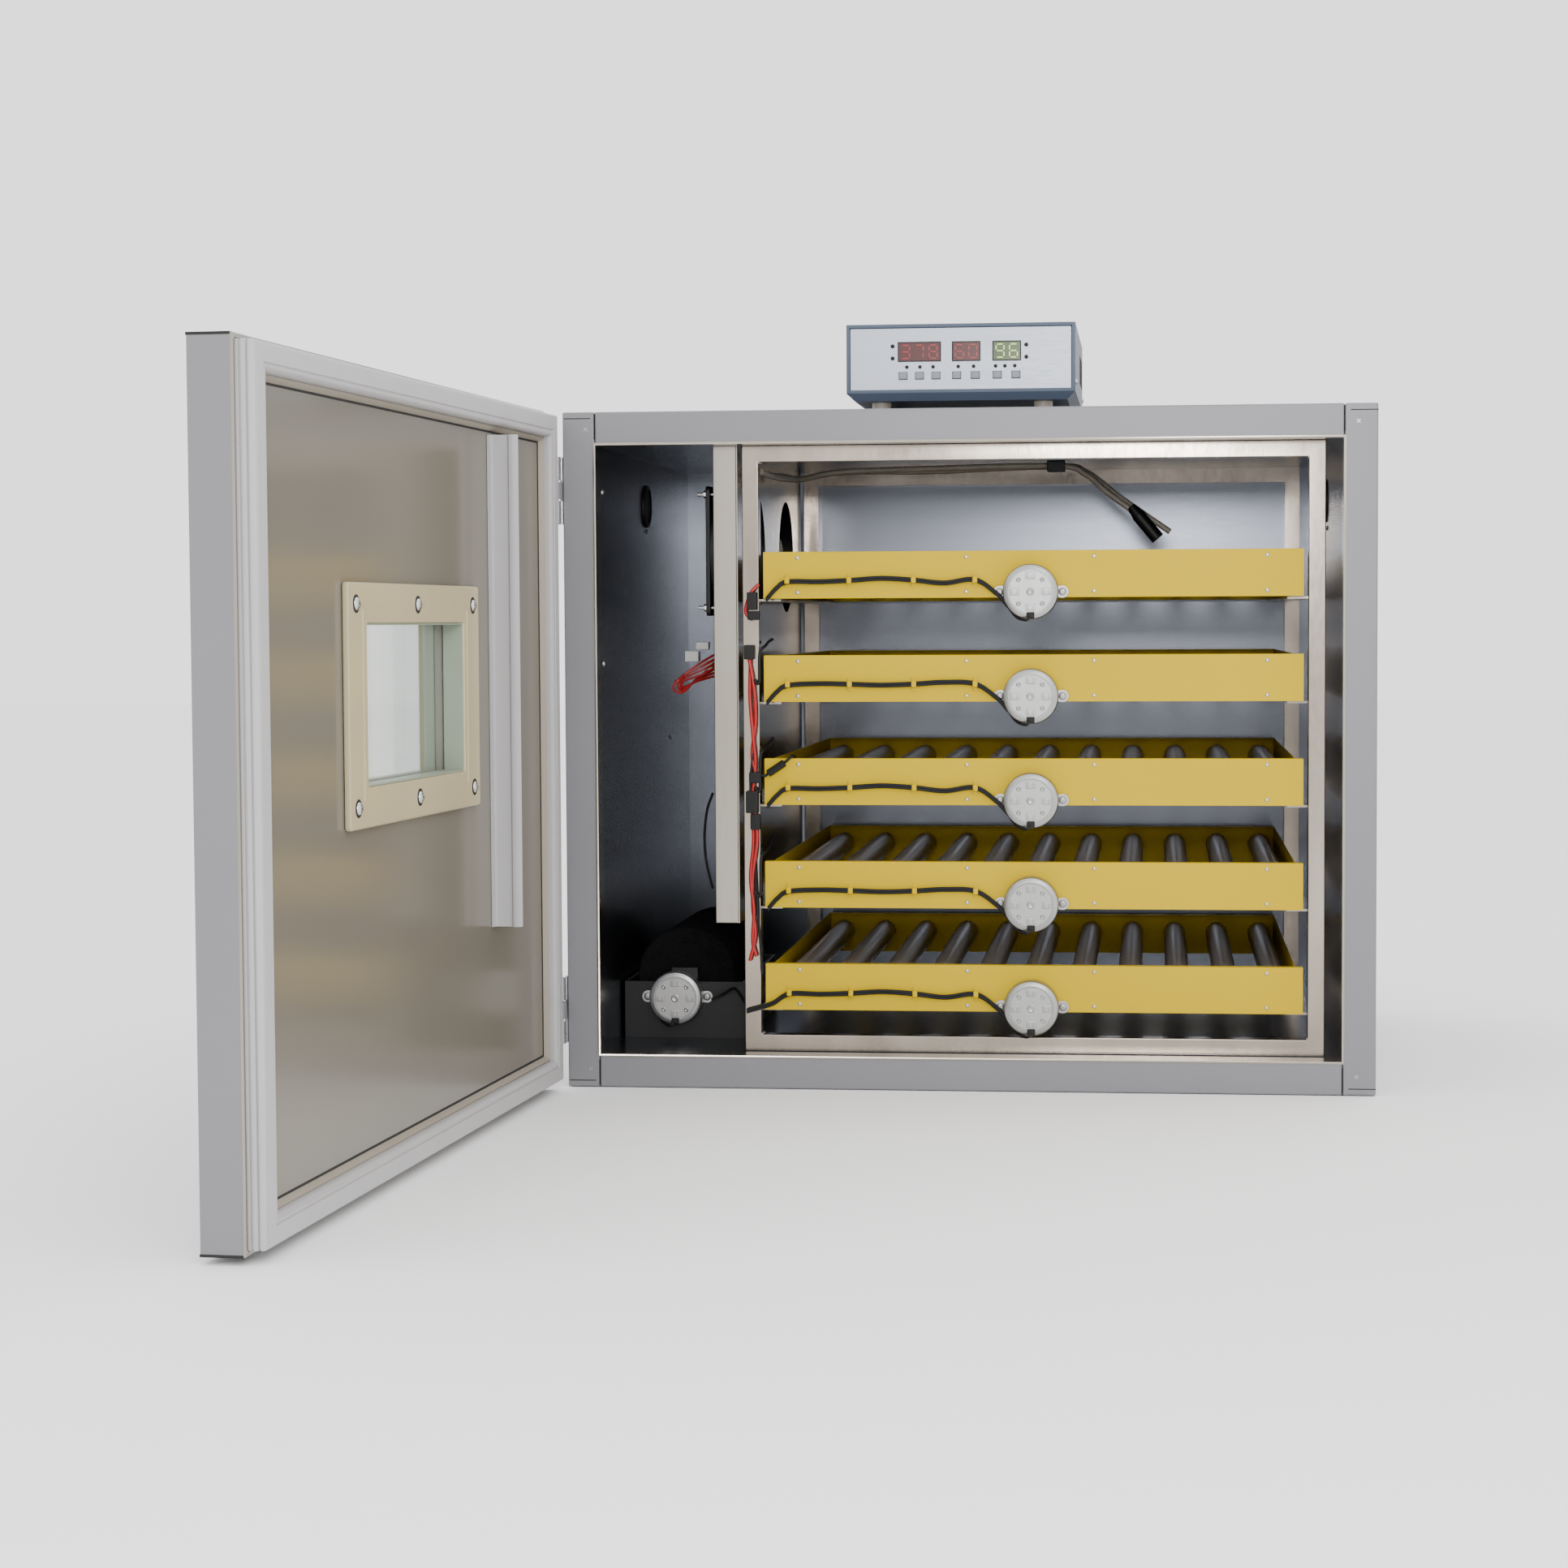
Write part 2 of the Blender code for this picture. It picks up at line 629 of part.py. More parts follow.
def make_humidifier(plastic, foam, metal):
    """An open water tank with a turning drum, driven by a motor on the tank's front."""
    bottom = FLOOR + GAP
    tank = box((TANK_LEFT, TANK_FRONT, bottom), (TANK_RIGHT, TANK_BACK, TANK_TOP))
    cut(tank, box((TANK_LEFT + TANK_WALL, TANK_FRONT + TANK_WALL, bottom + TANK_WALL),
                  (TANK_RIGHT - TANK_WALL, TANK_BACK - TANK_WALL, TANK_TOP + CUT_MARGIN)))
    for y in (TANK_FRONT - 1, TANK_BACK - TANK_WALL - 1):
        join(tank, box((DRUM_X - CRADLE_HALF_WIDTH, y + 1, TANK_TOP - 20),
                       (DRUM_X + CRADLE_HALF_WIDTH, y + 1 + TANK_WALL, DRUM_Z + CRADLE_ABOVE_SHAFT)))
        cut(tank, rod("Y", (DRUM_X, y - 1, DRUM_Z), TANK_WALL + 4, DRUM_SHAFT + 1, 16))
    place(tank, "humidifier_tank", plastic)

    axle = add_pivot("humidifier_axle", (DRUM_X, 0, DRUM_Z))
    drum_front = TANK_FRONT + DRUM_END_GAP
    drum = rod("Y", (DRUM_X, drum_front, DRUM_Z), TANK_BACK - TANK_FRONT - 2 * DRUM_END_GAP,
               DRUM_RADIUS, 40)
    join(drum, rod("Y", (DRUM_X, TANK_FRONT + 0.5, DRUM_Z), TANK_BACK - TANK_FRONT - 1,
                   DRUM_SHAFT, 12))
    place(drum, "humidifier_drum", foam, axle, smooth=True)

    motor = synchronous_motor(HUMIDIFIER_MOTOR_X, TANK_FRONT, HUMIDIFIER_MOTOR_Z)
    place(motor, "humidifier_motor", metal, smooth=True)


# ---------------------------------------------------------------------------------------------
# Wiring

def make_wiring(rubber):
    """One loom: up the rack's front left post, along the ceiling, and down to the sensor."""
    points = [(x, FRONT + back, z) for x, back, z in HARNESS_ROUTE]
    loom = tube(smooth_route(points, 19), HARNESS_RADIUS)
    join(loom, tube(smooth_route(points[-2:], 12)[-3:], SENSOR_RADIUS))
    place(loom, "wiring_harness", rubber, smooth=True)


# ---------------------------------------------------------------------------------------------
# Controller

def make_controller(paint, face, key):
    """A case with a chamfered base on four feet, a front panel in it and seven push buttons."""
    back = CONTROLLER_FRONT + CONTROLLER_DEPTH
    case = box((CONTROLLER_LEFT, CONTROLLER_FRONT, CONTROLLER_CHAMFER_TOP),
               (CONTROLLER_RIGHT, back, CONTROLLER_TOP))
    base_bottom = CONTROLLER_CHAMFER_TOP - CONTROLLER_CHAMFER
    base = box((CONTROLLER_LEFT, CONTROLLER_FRONT, base_bottom),
               (CONTROLLER_RIGHT, back, CONTROLLER_CHAMFER_TOP + 2))
    for vertex in base.data.vertices:
        if vertex.co.z < (base_bottom + 1) * MM:
            middle = (CONTROLLER_LEFT + CONTROLLER_RIGHT) / 2 * MM
            vertex.co.x -= math.copysign(CONTROLLER_CHAMFER * MM, vertex.co.x - middle)
            deep = (CONTROLLER_FRONT + back) / 2 * MM
            vertex.co.y -= math.copysign(CONTROLLER_CHAMFER / 2 * MM, vertex.co.y - deep)
    for x in (CONTROLLER_LEFT + 30, CONTROLLER_RIGHT - 30):
        for y in (CONTROLLER_FRONT + 25, back - 25):
            foot_bottom = HEIGHT + GAP
            join(base, rod("Z", (x, y, foot_bottom), base_bottom + 2 - foot_bottom, FOOT_RADIUS, 16))
    join(case, base)
    panel_left = CONTROLLER_LEFT + CONTROLLER_WALL
    panel_right = CONTROLLER_RIGHT - CONTROLLER_WALL
    panel_bottom = CONTROLLER_CHAMFER_TOP + 1
    panel_top = CONTROLLER_TOP - CONTROLLER_WALL
    cut(case, box((panel_left, CONTROLLER_FRONT - CUT_MARGIN, panel_bottom),
                  (panel_right, back - CONTROLLER_WALL, panel_top)))
    place(case, "controller_case", paint)

    panel_front = CONTROLLER_FRONT + 1
    panel = box((panel_left + GAP, panel_front, panel_bottom + GAP),
                (panel_right - GAP, panel_front + PANEL_THICKNESS, panel_top - GAP))
    half_width, half_height = BUTTON_SIZE[0] / 2, BUTTON_SIZE[1] / 2
    for x in BUTTON_X:
        cut(panel, box((x - half_width - GAP, panel_front - CUT_MARGIN, BUTTON_Z - half_height - GAP),
                       (x + half_width + GAP, panel_front + CUT_MARGIN, BUTTON_Z + half_height + GAP)))
    place(panel, "controller_panel", face)

    for index, x in enumerate(BUTTON_X, start=1):
        front = panel_front - BUTTON_PROUD
        pivot = add_pivot(f"button_{index}_slide", (x, front, BUTTON_Z))
        button = box((x - half_width, front, BUTTON_Z - half_height),
                     (x + half_width, front + BUTTON_LENGTH, BUTTON_Z + half_height))
        place(button, f"controller_button_{index}", key, pivot)


# ---------------------------------------------------------------------------------------------
# Door

def ring(left, right, bottom, top, band, front, back):
    """A rectangular frame of constant width in the plane of the door."""
    outside = box((left, front, bottom), (right, back, top))
    inside = box((left + band, front - CUT_MARGIN, bottom + band),
                 (right - band, back + CUT_MARGIN, top - band))
    return cut(outside, inside)


def window_box(size, front, back):
    half_width, half_height = size[0] / 2, size[1] / 2
    return box((WINDOW_X - half_width, front, WINDOW_Z - half_height),
               (WINDOW_X + half_width, back, WINDOW_Z + half_height))


def make_door(steel, liner_sheet, vinyl, plastic, glass, metal):
    hinge = add_pivot("door_hinge_axis", (HINGE_X, HINGE_Y, 0))
    glass_size = (WINDOW_SIZE[0] + 2 * GLASS_LAP, WINDOW_SIZE[1] + 2 * GLASS_LAP)
    glass_front = (DOOR_INNER + DOOR_OUTER) / 2 - GLASS_THICKNESS / 2

    panel = box((DOOR_LEFT, DOOR_OUTER, DOOR_BOTTOM), (DOOR_RIGHT, DOOR_INNER, DOOR_TOP))
    cut(panel, window_box(WINDOW_SIZE, DOOR_OUTER - CUT_MARGIN, DOOR_INNER + CUT_MARGIN))
    rebate = (glass_size[0] + 2 * GAP, glass_size[1] + 2 * GAP)
    cut(panel, window_box(rebate, glass_front - GAP, DOOR_INNER + CUT_MARGIN))
    for z in HINGE_Z:
        low = z - KNUCKLE_HEIGHT / 2
        lug = box((HINGE_X, DOOR_INNER - 3, low), (DOOR_LEFT + 3, HINGE_Y - 1, low + KNUCKLE_HEIGHT))
        join(lug, rod("Z", (HINGE_X, HINGE_Y, low + 0.5), KNUCKLE_HEIGHT - 1, KNUCKLE, 12))
        join(panel, lug)
        cut(panel, rod("Z", (HINGE_X, HINGE_Y, low - 2), KNUCKLE_HEIGHT + 4, PIN + GAP, 12))
    place(panel, "door_panel", steel, hinge)

    liner_front = DOOR_INNER + GAP
    liner = box((DOOR_LEFT + LINER_INSET, liner_front, DOOR_BOTTOM + LINER_INSET),
                (DOOR_RIGHT - LINER_INSET, liner_front + LINER_THICKNESS, DOOR_TOP - LINER_INSET))
    cut(liner, window_box(WINDOW_SIZE, liner_front - CUT_MARGIN, liner_front + 2 * CUT_MARGIN))
    place(liner, "door_liner", liner_sheet, hinge)

    place(ring(DOOR_LEFT + GASKET_EDGE, DOOR_RIGHT - GASKET_EDGE, DOOR_BOTTOM + GASKET_EDGE,
               DOOR_TOP - GASKET_EDGE, GASKET_BAND, DOOR_INNER + GAP, GASKET_FACE),
          "door_gasket", vinyl, hinge)

    frame_front = liner_front + LINER_THICKNESS + GAP
    frame = window_box(WINDOW_FRAME_SIZE, frame_front, frame_front + WINDOW_FRAME_THICKNESS)
    cut(frame, window_box(WINDOW_SIZE, frame_front - CUT_MARGIN, frame_front + 2 * CUT_MARGIN))
    place(frame, "door_window_frame", plastic, hinge)
    place(window_box(glass_size, glass_front, glass_front + GLASS_THICKNESS),
          "door_window_glazing", glass, hinge)

    bulb_middle = frame_front + STRIP_REACH - STRIP_BULB
    strip = box((STRIP_X - STRIP_WIDTH / 2, frame_front, STRIP_BOTTOM),
                (STRIP_X + STRIP_WIDTH / 2, frame_front + STRIP_BASE, STRIP_TOP))
    join(strip, box((STRIP_X - STRIP_FIN / 2, frame_front + 1, STRIP_BOTTOM),
                    (STRIP_X + STRIP_FIN / 2, bulb_middle, STRIP_TOP)))
    join(strip, rod("Z", (STRIP_X, bulb_middle, STRIP_BOTTOM), STRIP_TOP - STRIP_BOTTOM, STRIP_BULB, 12))
    place(strip, "door_seal_strip", vinyl, hinge, smooth=True)

    handle_y = DOOR_OUTER - HANDLE_REACH
    bar = box((HANDLE_X - HANDLE_HALF_WIDTH, handle_y, HANDLE_Z - HANDLE_LENGTH / 2),
              (HANDLE_X + HANDLE_HALF_WIDTH, handle_y + HANDLE_BAR, HANDLE_Z + HANDLE_LENGTH / 2))
    for end in (-1, 1):
        z = HANDLE_Z + end * (HANDLE_LENGTH / 2 - HANDLE_FOOT_INSET)
        join(bar, box((HANDLE_X - HANDLE_HALF_WIDTH + 1, handle_y + 1, z - HANDLE_FOOT),
                      (HANDLE_X + HANDLE_HALF_WIDTH - 1, DOOR_OUTER - GAP, z + HANDLE_FOOT)))
    place(bar, "door_handle", metal, hinge)

    hinge.rotation_euler.z = math.radians(-DOOR_OPEN_DEGREES)


def make_hinges(metal):
    """On the cabinet's left side: a leaf, and a pin that runs through the lug on the door."""
    side = -WIDTH / 2 - GAP
    for name, z in (("bottom", HINGE_Z[0]), ("top", HINGE_Z[1])):
        low = z - LEAF_HALF_HEIGHT
        high = z + LEAF_HALF_HEIGHT
        leaf = box((side - LEAF_THICKNESS, FRONT, low), (side, FRONT + LEAF_DEPTH, high))
        for start, end in ((low, z - KNUCKLE_HEIGHT / 2 - 1), (z + KNUCKLE_HEIGHT / 2 + 1, high)):
            join(leaf, box((HINGE_X + 1, HINGE_Y - 2, start), (side - 0.5, FRONT + 3, end)))
            barrel = rod("Z", (HINGE_X, HINGE_Y, start + 0.5), end - start - 1, KNUCKLE - 1, 12)
            join(leaf, barrel)
        join(leaf, rod("Z", (HINGE_X, HINGE_Y, low + 2), high - low - 4, PIN - 0.2, 12))
        place(leaf, f"door_hinge_{name}", metal)


# ---------------------------------------------------------------------------------------------

def build():
    painted_steel = make_material("painted_steel", (0.46, 0.46, 0.50), 0.4, 0.4)
    stainless = make_material("stainless", (0.62, 0.61, 0.59), 0.25, 1.0)
    tray_paint = make_material("tray_paint", (0.78, 0.55, 0.03), 0.4)
    roller_plastic = make_material("roller_plastic", (0.35, 0.30, 0.22), 0.5)
    motor_metal = make_material("motor_metal", (0.70, 0.70, 0.70), 0.35, 1.0)
    black_plastic = make_material("black_plastic", (0.02, 0.02, 0.02), 0.5)
    black_foam = make_material("black_foam", (0.015, 0.015, 0.015), 0.8)
    cable_rubber = make_material("cable_rubber", (0.10, 0.09, 0.08), 0.6)
    controller_paint = make_material("controller_paint", (0.10, 0.13, 0.20), 0.45)
    controller_face = make_material("controller_face", (0.62, 0.65, 0.70), 0.35)
    button_plastic = make_material("button_plastic", (0.35, 0.38, 0.42), 0.5)
    liner_sheet = make_material("liner_sheet", (0.28, 0.25, 0.21), 0.15, 0.3)
    vinyl = make_material("vinyl", (0.62, 0.60, 0.58), 0.55)
    cream_plastic = make_material("cream_plastic", (0.52, 0.46, 0.31), 0.4)
    window_glass = make_material("window_glass", (0.85, 0.95, 0.90), 0.03, transmission=1.0)
    zinc = make_material("zinc", (0.55, 0.56, 0.58), 0.35, 1.0)

    make_cabinet(painted_steel)
    make_front_profiles(painted_steel)
    make_rack(stainless)
    make_trays(tray_paint, motor_metal, roller_plastic)
    make_partition(stainless)
    for name, y in zip(("front", "rear"), FAN_Y):
        make_fan(name, y, black_plastic)
    make_heater(stainless)
    make_humidifier(black_plastic, black_foam, motor_metal)
    make_wiring(cable_rubber)
    make_controller(controller_paint, controller_face, button_plastic)
    make_door(painted_steel, liner_sheet, vinyl, cream_plastic, window_glass, zinc)
    make_hinges(zinc)


clear_scene()
PARTS = add_collection("egg_incubator")
SHAPES = add_collection("shapes")
build()
bpy.data.collections.remove(SHAPES)
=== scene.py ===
"""The looks of an egg incubator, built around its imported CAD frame.

Everything is in metres, in the frame's axes: +X right, +Y to the back, +Z up. Door pieces are drawn as
if the door were closed and are then turned open with the DOOR matrix, like the CAD door.
"""
import json
import math

import bmesh
import bpy
from mathutils import Matrix, Vector


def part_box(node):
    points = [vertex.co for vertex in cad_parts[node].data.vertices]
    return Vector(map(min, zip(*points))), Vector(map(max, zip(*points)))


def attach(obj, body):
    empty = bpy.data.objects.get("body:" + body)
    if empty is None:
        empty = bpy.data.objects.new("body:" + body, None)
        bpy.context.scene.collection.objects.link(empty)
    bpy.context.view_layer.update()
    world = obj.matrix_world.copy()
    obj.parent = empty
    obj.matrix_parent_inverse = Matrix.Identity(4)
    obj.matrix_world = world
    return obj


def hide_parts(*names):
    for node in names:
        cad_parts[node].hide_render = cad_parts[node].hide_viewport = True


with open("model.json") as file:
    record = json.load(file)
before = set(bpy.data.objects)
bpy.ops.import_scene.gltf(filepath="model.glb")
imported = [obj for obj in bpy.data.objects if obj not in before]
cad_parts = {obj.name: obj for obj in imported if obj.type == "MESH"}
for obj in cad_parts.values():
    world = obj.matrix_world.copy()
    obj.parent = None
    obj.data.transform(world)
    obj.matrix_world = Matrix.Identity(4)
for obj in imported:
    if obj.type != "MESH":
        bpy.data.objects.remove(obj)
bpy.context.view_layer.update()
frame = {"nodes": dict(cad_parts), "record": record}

JOINTS = {joint["name"]: joint for joint in frame["record"]["behaviour"]["joints"]}

# ---- Places taken from the frame

FRONT_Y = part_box("front_post_left")[0].y
HINGE = Vector(JOINTS["door_hinge"]["pos_m"])
DOOR_OPEN = math.radians(JOINTS["door_hinge"]["range_deg"][1])
DOOR = (Matrix.Translation(HINGE) @ Matrix.Rotation(-DOOR_OPEN, 4, "Z") @ Matrix.Translation(-HINGE))
TRAYS = range(1, 6)
ROLLERS = range(1, 12)
WIRE = 0.0013
PIN_RADIUS = 0.003
PIN_REACH = 0.005


def closed_box(node):
    """Lowest and highest corner of a door node with the door closed."""
    back = DOOR.inverted()
    points = [back @ vertex.co for vertex in frame["nodes"][node].data.vertices]
    low = Vector([min(point[axis] for point in points) for axis in range(3)])
    high = Vector([max(point[axis] for point in points) for axis in range(3)])
    return low, high


# ---- Materials


def surface(name, colour, roughness, metallic=0.0, stretch=(1, 1, 1), scale=30, vary=0.12,
            rough_vary=0.08, bump=0.02, bump_scale=None, bump_distance=0.0005, slot=None, **sockets):
    """A Principled material whose colour, roughness and relief follow noise stretched along an axis."""
    material = bpy.data.materials.new(name)
    material.use_nodes = True
    nodes, links = material.node_tree.nodes, material.node_tree.links
    shader = nodes["Principled BSDF"]
    shader.inputs["Metallic"].default_value = metallic
    for socket, value in sockets.items():
        shader.inputs[socket.replace("_", " ")].default_value = value
    place = nodes.new("ShaderNodeTexCoord")
    mapping = nodes.new("ShaderNodeMapping")
    mapping.inputs["Scale"].default_value = stretch
    links.new(place.outputs["Object"], mapping.inputs["Vector"])

    def noise(size, detail=4.0):
        texture = nodes.new("ShaderNodeTexNoise")
        texture.inputs["Scale"].default_value = size
        texture.inputs["Detail"].default_value = detail
        links.new(mapping.outputs["Vector"], texture.inputs["Vector"])
        return texture.outputs["Fac"]

    broad = noise(scale)
    mix = nodes.new("ShaderNodeMix")
    mix.data_type = "RGBA"
    mix.inputs["A"].default_value = (*[channel * (1 - vary) for channel in colour], 1)
    mix.inputs["B"].default_value = (*[min(1, channel * (1 + vary)) for channel in colour], 1)
    links.new(broad, mix.inputs["Factor"])
    links.new(mix.outputs["Result"], shader.inputs["Base Color"])
    fine = noise(bump_scale or scale * 12, 6.0)
    spread = nodes.new("ShaderNodeMapRange")
    spread.inputs["To Min"].default_value = max(0.02, roughness - rough_vary)
    spread.inputs["To Max"].default_value = min(1, roughness + rough_vary)
    links.new(fine, spread.inputs["Value"])
    links.new(spread.outputs["Result"], shader.inputs["Roughness"])
    relief = nodes.new("ShaderNodeBump")
    relief.inputs["Strength"].default_value = bump
    relief.inputs["Distance"].default_value = bump_distance
    links.new(fine, relief.inputs["Height"])
    links.new(relief.outputs["Normal"], shader.inputs["Normal"])
    return material


def lens(name, colour, slot):
    return surface(name, colour, 0.16, scale=60, vary=0.1, bump=0.0, slot=slot, Coat_Weight=0.4)


def glow(name, colour, strength, slot):
    return surface(name, colour, 0.3, vary=0.05, bump=0.0, slot=slot, Emission_Color=(*colour, 1),
                   Emission_Strength=strength)


PAINT = surface("painted_steel", (0.185, 0.182, 0.196), 0.40, 0.25, scale=6, vary=0.05,
                rough_vary=0.05, bump=0.04, bump_scale=900)
STAINLESS = surface("stainless", (0.34, 0.31, 0.265), 0.20, 1.0, stretch=(1, 1, 0.06), scale=60,
                    vary=0.12, rough_vary=0.05, bump=0.015)
RACK_STEEL = surface("rack_steel", (0.33, 0.285, 0.24), 0.18, 1.0, stretch=(1, 1, 0.35), scale=22,
                     vary=0.40, rough_vary=0.08, bump=0.02, slot="stainless")
# Stainless of the inner sheets, painted darker and bluer than the stainless outside: painted shade of the
# chamber.
SHADED_INNER_STEEL = surface("inner_steel_painted_shade", (0.155, 0.165, 0.19), 0.24, 1.0, stretch=(0.05, 1, 1), scale=80,
                      vary=0.10, rough_vary=0.03, bump=0.004, slot="stainless")
YELLOW = surface("tray_paint", (0.55, 0.375, 0.0), 0.42, scale=9, vary=0.05, rough_vary=0.07,
                 bump=0.05, bump_scale=260, Specular_IOR_Level=0.12)
ROLLER = surface("roller_plastic", (0.26, 0.205, 0.15), 0.30, stretch=(1, 0.25, 1), scale=35, vary=0.08,
                 rough_vary=0.02, bump=0.0)
MOTOR = surface("motor_metal", (0.36, 0.36, 0.355), 0.34, 0.85, scale=60, vary=0.12, bump=0.05,
                bump_scale=900)
BLACK = surface("black_plastic", (0.005, 0.005, 0.0055), 0.45, scale=50, vary=0.3, bump=0.10,
                bump_scale=1400, Specular_IOR_Level=0.35)
FOAM = surface("black_foam", (0.004, 0.004, 0.0045), 0.95, scale=120, vary=0.5, bump=0.9,
               bump_scale=700, bump_distance=0.001, Specular_IOR_Level=0.1)
CABLE = surface("cable_rubber", (0.004, 0.0038, 0.0035), 0.55, scale=90, vary=0.2, bump=0.06,
                Specular_IOR_Level=0.3)
GREY_CABLE = surface("grey_cable", (0.34, 0.30, 0.25), 0.40, scale=70, vary=0.2, bump=0.05,
                     slot="cable_rubber")
RED_WIRE = surface("red_wire", (0.32, 0.004, 0.004), 0.35, scale=90, vary=0.15, bump=0.04)
WHITE = surface("white_plastic", (0.60, 0.60, 0.58), 0.40, scale=90, vary=0.06, bump=0.04)
CASE = surface("controller_paint", (0.055, 0.075, 0.115), 0.48, 0.1, scale=20, vary=0.08, bump=0.20,
               bump_scale=1500)
FACE = surface("controller_face", (0.42, 0.45, 0.52), 0.34, 0.35, stretch=(0.1, 1, 1), scale=60,
               vary=0.06, bump=0.02)
KEY = surface("button_plastic", (0.20, 0.22, 0.25), 0.42, scale=120, vary=0.1, bump=0.05)
LINER = surface("liner_sheet", (0.150, 0.134, 0.108), 0.17, scale=3, vary=0.08, rough_vary=0.04,
                bump=0.01, bump_scale=9, bump_distance=0.004, Specular_IOR_Level=0.36)
VINYL = surface("vinyl", (0.38, 0.37, 0.375), 0.48, scale=15, vary=0.06, bump=0.05, bump_scale=300)
BEIGE = surface("beige_vinyl", (0.27, 0.235, 0.19), 0.5, scale=15, vary=0.1, bump=0.05, bump_scale=300,
                slot="vinyl")
CREAM = surface("cream_plastic", (0.43, 0.365, 0.22), 0.30, scale=12, vary=0.06, rough_vary=0.03,
                bump=0.004, bump_scale=200, Coat_Weight=0.3, Coat_Roughness=0.1)
# Cream plastic of the window sleeve, painted darker and greener: painted shade in the window's reveal, with
# the glass's green cast painted in.
SHADED_SLEEVE = surface("window_sleeve_painted_shade", (0.25, 0.29, 0.22), 0.35, scale=15, vary=0.08, bump=0.02,
                 slot="cream_plastic")
ZINC = surface("zinc", (0.52, 0.52, 0.54), 0.28, 1.0, scale=90, vary=0.12, bump=0.05)
# Near-black: the own colour of the unlit lamps and display rims, and painted shade in the profile seams, the
# vent slots, under the door seal's edge and round the window screws; also the dark strips on the ends of the
# door's edge profiles.
DARK_AND_PAINTED_SHADE = surface("dark_parts_and_painted_shade", (0.004, 0.004, 0.004), 0.7, vary=0.3, bump=0.05, slot="black_plastic")
PANE = surface("window_glass", (0.955, 0.99, 0.97), 0.02, vary=0.01, rough_vary=0.0, bump=0.0,
               Transmission_Weight=1.0, IOR=1.45)
RED_LENS = lens("red_lens", (0.060, 0.001, 0.001), "display_red")
GREEN_LENS = lens("green_lens", (0.045, 0.075, 0.006), "display_green")
RED_DIGIT = glow("red_digit", (0.30, 0.006, 0.005), 0.15, "display_red")
GREEN_DIGIT = glow("green_digit", (0.50, 0.75, 0.20), 0.7, "display_green")


# ---- Mesh building

